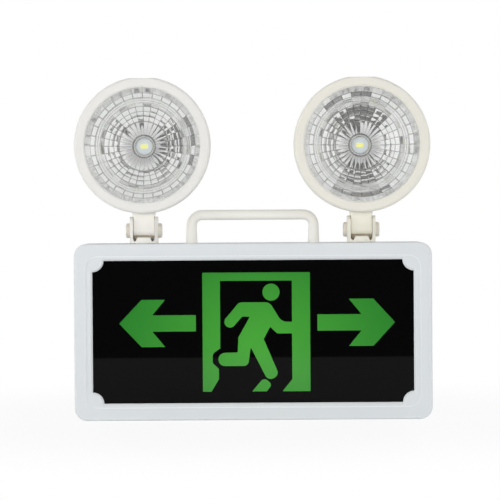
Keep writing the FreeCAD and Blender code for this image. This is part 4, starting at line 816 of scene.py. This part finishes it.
def rolled_group():
    """Plated or rolled steel: fine streaks along X from a stretched noise, as a tone and a roughness."""
    group = bpy.data.node_groups.new("rolled_steel", "ShaderNodeTree")
    group.interface.new_socket("Colour", in_out="INPUT", socket_type="NodeSocketColor")
    socket = group.interface.new_socket("Roughness", in_out="INPUT", socket_type="NodeSocketFloat")
    socket.default_value = 0.3
    group.interface.new_socket("Colour", in_out="OUTPUT", socket_type="NodeSocketColor")
    group.interface.new_socket("Roughness", in_out="OUTPUT", socket_type="NodeSocketFloat")
    nodes, links = group.nodes, group.links
    given = nodes.new("NodeGroupInput")
    made = nodes.new("NodeGroupOutput")
    place = add_node(nodes, "TexCoord")
    stretch = add_node(nodes, "VectorMath", {1: (120.0, 2400.0, 2400.0)}, operation="MULTIPLY")
    streaks = add_node(nodes, "TexNoise", {"Scale": 1.0})
    gain = add_node(nodes, "MapRange", {"To Min": 0.82, "To Max": 1.12})
    tint = add_node(nodes, "VectorMath", operation="SCALE")
    rough = add_node(nodes, "Math", {1: 0.2}, operation="MULTIPLY_ADD")
    links.new(place.outputs["Object"], stretch.inputs[0])
    links.new(stretch.outputs[0], streaks.inputs["Vector"])
    links.new(streaks.outputs["Fac"], gain.inputs["Value"])
    links.new(given.outputs["Colour"], tint.inputs[0])
    links.new(gain.outputs["Result"], tint.inputs["Scale"])
    links.new(streaks.outputs["Fac"], rough.inputs[0])
    links.new(given.outputs["Roughness"], rough.inputs[2])
    links.new(tint.outputs[0], made.inputs["Colour"])
    links.new(rough.outputs[0], made.inputs["Roughness"])
    return group


ROLLED_STEEL = rolled_group()


def metal(name, colour, roughness):
    """A bare or plated metal: the rolled group placed in a metallic Principled material."""
    material, tree, shader = plain_material(name, colour, roughness, metallic=1.0)
    group = add_node(
        tree.nodes, "Group", {"Colour": (*colour, 1.0), "Roughness": roughness}, node_tree=ROLLED_STEEL
    )
    tree.links.new(group.outputs["Colour"], shader.inputs["Base Color"])
    tree.links.new(group.outputs["Roughness"], shader.inputs["Roughness"])
    return material


zinc_plate = metal("zinc_plate", (0.62, 0.62, 0.61), 0.25)
dress(zinc_plate, "frame_screws", "board_screws", "strap_screws", "handle_screws")
dress(metal("strap_steel", (0.60, 0.60, 0.60), 0.22), "battery_strap")
dress(metal("spring_steel", (0.50, 0.50, 0.50), 0.25), "left_turret_clip", "right_turret_clip")
dress(metal("small_screws", (0.62, 0.62, 0.61), 0.25), "left_led_board_screws", "right_led_board_screws")
dress(moulded("washer_nylon", (0.80, 0.79, 0.74), 0.45), "left_turret_washer", "right_turret_washer")

# ------------------------------------------------------------------ back lighting
# A clear acrylic guide with etched dots lies behind the sign between two white strips of emitters, and a
# white card behind it sends the light forwards.


def etched_guide():
    """Clear acrylic with small matt dots: rougher where the nearest point of an even grid is close."""
    material, tree, shader = plain_material("guide_clear", (0.93, 0.95, 0.95), 0.05, ior=1.49)
    shader.inputs["Transmission Weight"].default_value = 0.9
    place = add_node(tree.nodes, "TexCoord")
    dots = add_node(tree.nodes, "TexVoronoi", {"Scale": 400.0, "Randomness": 0.0})
    edge = add_node(
        tree.nodes, "MapRange", {"From Min": 0.30, "From Max": 0.26, "To Min": 0.05, "To Max": 0.65}
    )
    tree.links.new(place.outputs["Object"], dots.inputs["Vector"])
    tree.links.new(dots.outputs["Distance"], edge.inputs["Value"])
    tree.links.new(edge.outputs["Result"], shader.inputs["Roughness"])
    return material


dress(etched_guide(), "light_guide")
dress(moulded("backing_white", (0.85, 0.85, 0.83), 0.55), "backing_plate")
dress(moulded("strip_white", (0.85, 0.85, 0.82), 0.35), "backlight_strip_top", "backlight_strip_bottom")
# The backlight emitters share the chips' faint painted glow.
dress(chip_material, "backlight_leds")

# ------------------------------------------------------------------ circuit boards
# Glass-fibre boards with a green solder mask over straight copper tracks and round pads. They carry a
# transformer of stacked laminations, sleeved capacitors, nylon sockets and the test switch.


def board_green():
    """Solder mask: lighter tracks from the joints of a brick pattern, and tinned pads amid uneven cells."""
    material, tree, shader = plain_material("board_green", (0.05, 0.22, 0.10), 0.35)
    place = add_node(tree.nodes, "TexCoord")
    turn = add_node(tree.nodes, "CombineXYZ")
    split = add_node(tree.nodes, "SeparateXYZ")
    tracks = add_node(
        tree.nodes,
        "TexBrick",
        {
            "Color1": (0.035, 0.19, 0.08, 1),
            "Color2": (0.045, 0.22, 0.10, 1),
            "Mortar": (0.09, 0.32, 0.14, 1),
            "Scale": 90.0,
            "Mortar Size": 0.035,
        },
    )
    pads = add_node(tree.nodes, "TexVoronoi", {"Scale": 210.0, "Randomness": 0.6})
    rim = add_node(tree.nodes, "MapRange", {"From Min": 0.20, "From Max": 0.16})
    tin = add_node(tree.nodes, "Mix", {"B": (0.55, 0.54, 0.50, 1)}, data_type="RGBA")
    tree.links.new(place.outputs["Object"], split.inputs[0])
    tree.links.new(split.outputs["X"], turn.inputs["X"])
    tree.links.new(split.outputs["Z"], turn.inputs["Y"])
    tree.links.new(turn.outputs[0], tracks.inputs["Vector"])
    tree.links.new(place.outputs["Object"], pads.inputs["Vector"])
    tree.links.new(pads.outputs["Distance"], rim.inputs["Value"])
    tree.links.new(rim.outputs["Result"], tin.inputs["Factor"])
    tree.links.new(tracks.outputs["Color"], tin.inputs["A"])
    tree.links.new(tin.outputs["Result"], shader.inputs["Base Color"])
    return material


def banded(name, colour, band_colour, spacing, share, roughness, metallic=0.0):
    """A colour with thin bands of another across X, where X folded at the spacing is near its fold."""
    material, tree, shader = plain_material(name, colour, roughness, metallic=metallic)
    place = add_node(tree.nodes, "TexCoord")
    split = add_node(tree.nodes, "SeparateXYZ")
    fold = add_node(tree.nodes, "Math", {1: spacing / 2}, operation="PINGPONG")
    edge = add_node(
        tree.nodes, "MapRange", {"From Min": share * spacing / 2, "From Max": 0.8 * share * spacing / 2}
    )
    bands = add_node(tree.nodes, "Mix", {"A": (*colour, 1), "B": (*band_colour, 1)}, data_type="RGBA")
    tree.links.new(place.outputs["Object"], split.inputs[0])
    tree.links.new(split.outputs["X"], fold.inputs[0])
    tree.links.new(fold.outputs[0], edge.inputs["Value"])
    tree.links.new(edge.outputs["Result"], bands.inputs["Factor"])
    tree.links.new(bands.outputs["Result"], shader.inputs["Base Color"])
    return material


dress(board_green(), "main_board", "indicator_board")
LAMINATION_T, STRIPE_SPACING = 0.7 * MM, 9 * MM
steel_grey, joint_grey = (0.30, 0.30, 0.31), (0.14, 0.14, 0.15)
sleeve_black, stripe_grey = (0.03, 0.03, 0.04), (0.45, 0.45, 0.44)
dress(banded("core_steel", steel_grey, joint_grey, LAMINATION_T, 0.35, 0.45, metallic=0.8), "transformer")
dress(banded("capacitor_sleeve", sleeve_black, stripe_grey, STRIPE_SPACING, 0.14, 0.30), "capacitors")
dress(moulded("socket_nylon", (0.80, 0.79, 0.74), 0.42), "wire_sockets")
dress(moulded("switch_black", (0.035, 0.035, 0.035), 0.35), "test_switch", "switch_plunger")

# ------------------------------------------------------------------ battery and mains entry
# Cells in a heat-shrunk sleeve lie under a steel strap. Mains comes in through a rubber grommet to a
# polyamide terminal block with brass screws.
CELL_LENGTH = 43 * MM
battery_sleeve = banded("battery_sleeve", (0.72, 0.56, 0.09), (0.60, 0.45, 0.06), CELL_LENGTH, 0.05, 0.22)
dress(battery_sleeve, "battery_pack")
dress(moulded("terminal_white", (0.76, 0.76, 0.72), 0.42), "terminal_block")
dress(metal("terminal_brass", (0.78, 0.62, 0.30), 0.25), "terminal_screws")
dress(moulded("rubber_black", (0.025, 0.025, 0.025), 0.55, drift=0.3), "cable_grommet")

# ------------------------------------------------------------------ indicators and test button
# Three round lamps with tinted diffusing bodies and a red moulded button stand in the right-hand end of
# the box, against the indicator board and the test switch inside it.
for name, colour in (
    ("lamp_green", (0.08, 0.50, 0.14)),
    ("lamp_red", (0.60, 0.05, 0.04)),
    ("lamp_yellow", (0.80, 0.58, 0.05)),
):
    tinted = moulded(name, colour, 0.12, drift=0.08, depth=0.0)
    tinted.node_tree.nodes["Principled BSDF"].inputs["Transmission Weight"].default_value = 0.35
    dress(tinted, name)
dress(moulded("button_red", (0.55, 0.05, 0.045), 0.28), "test_button")
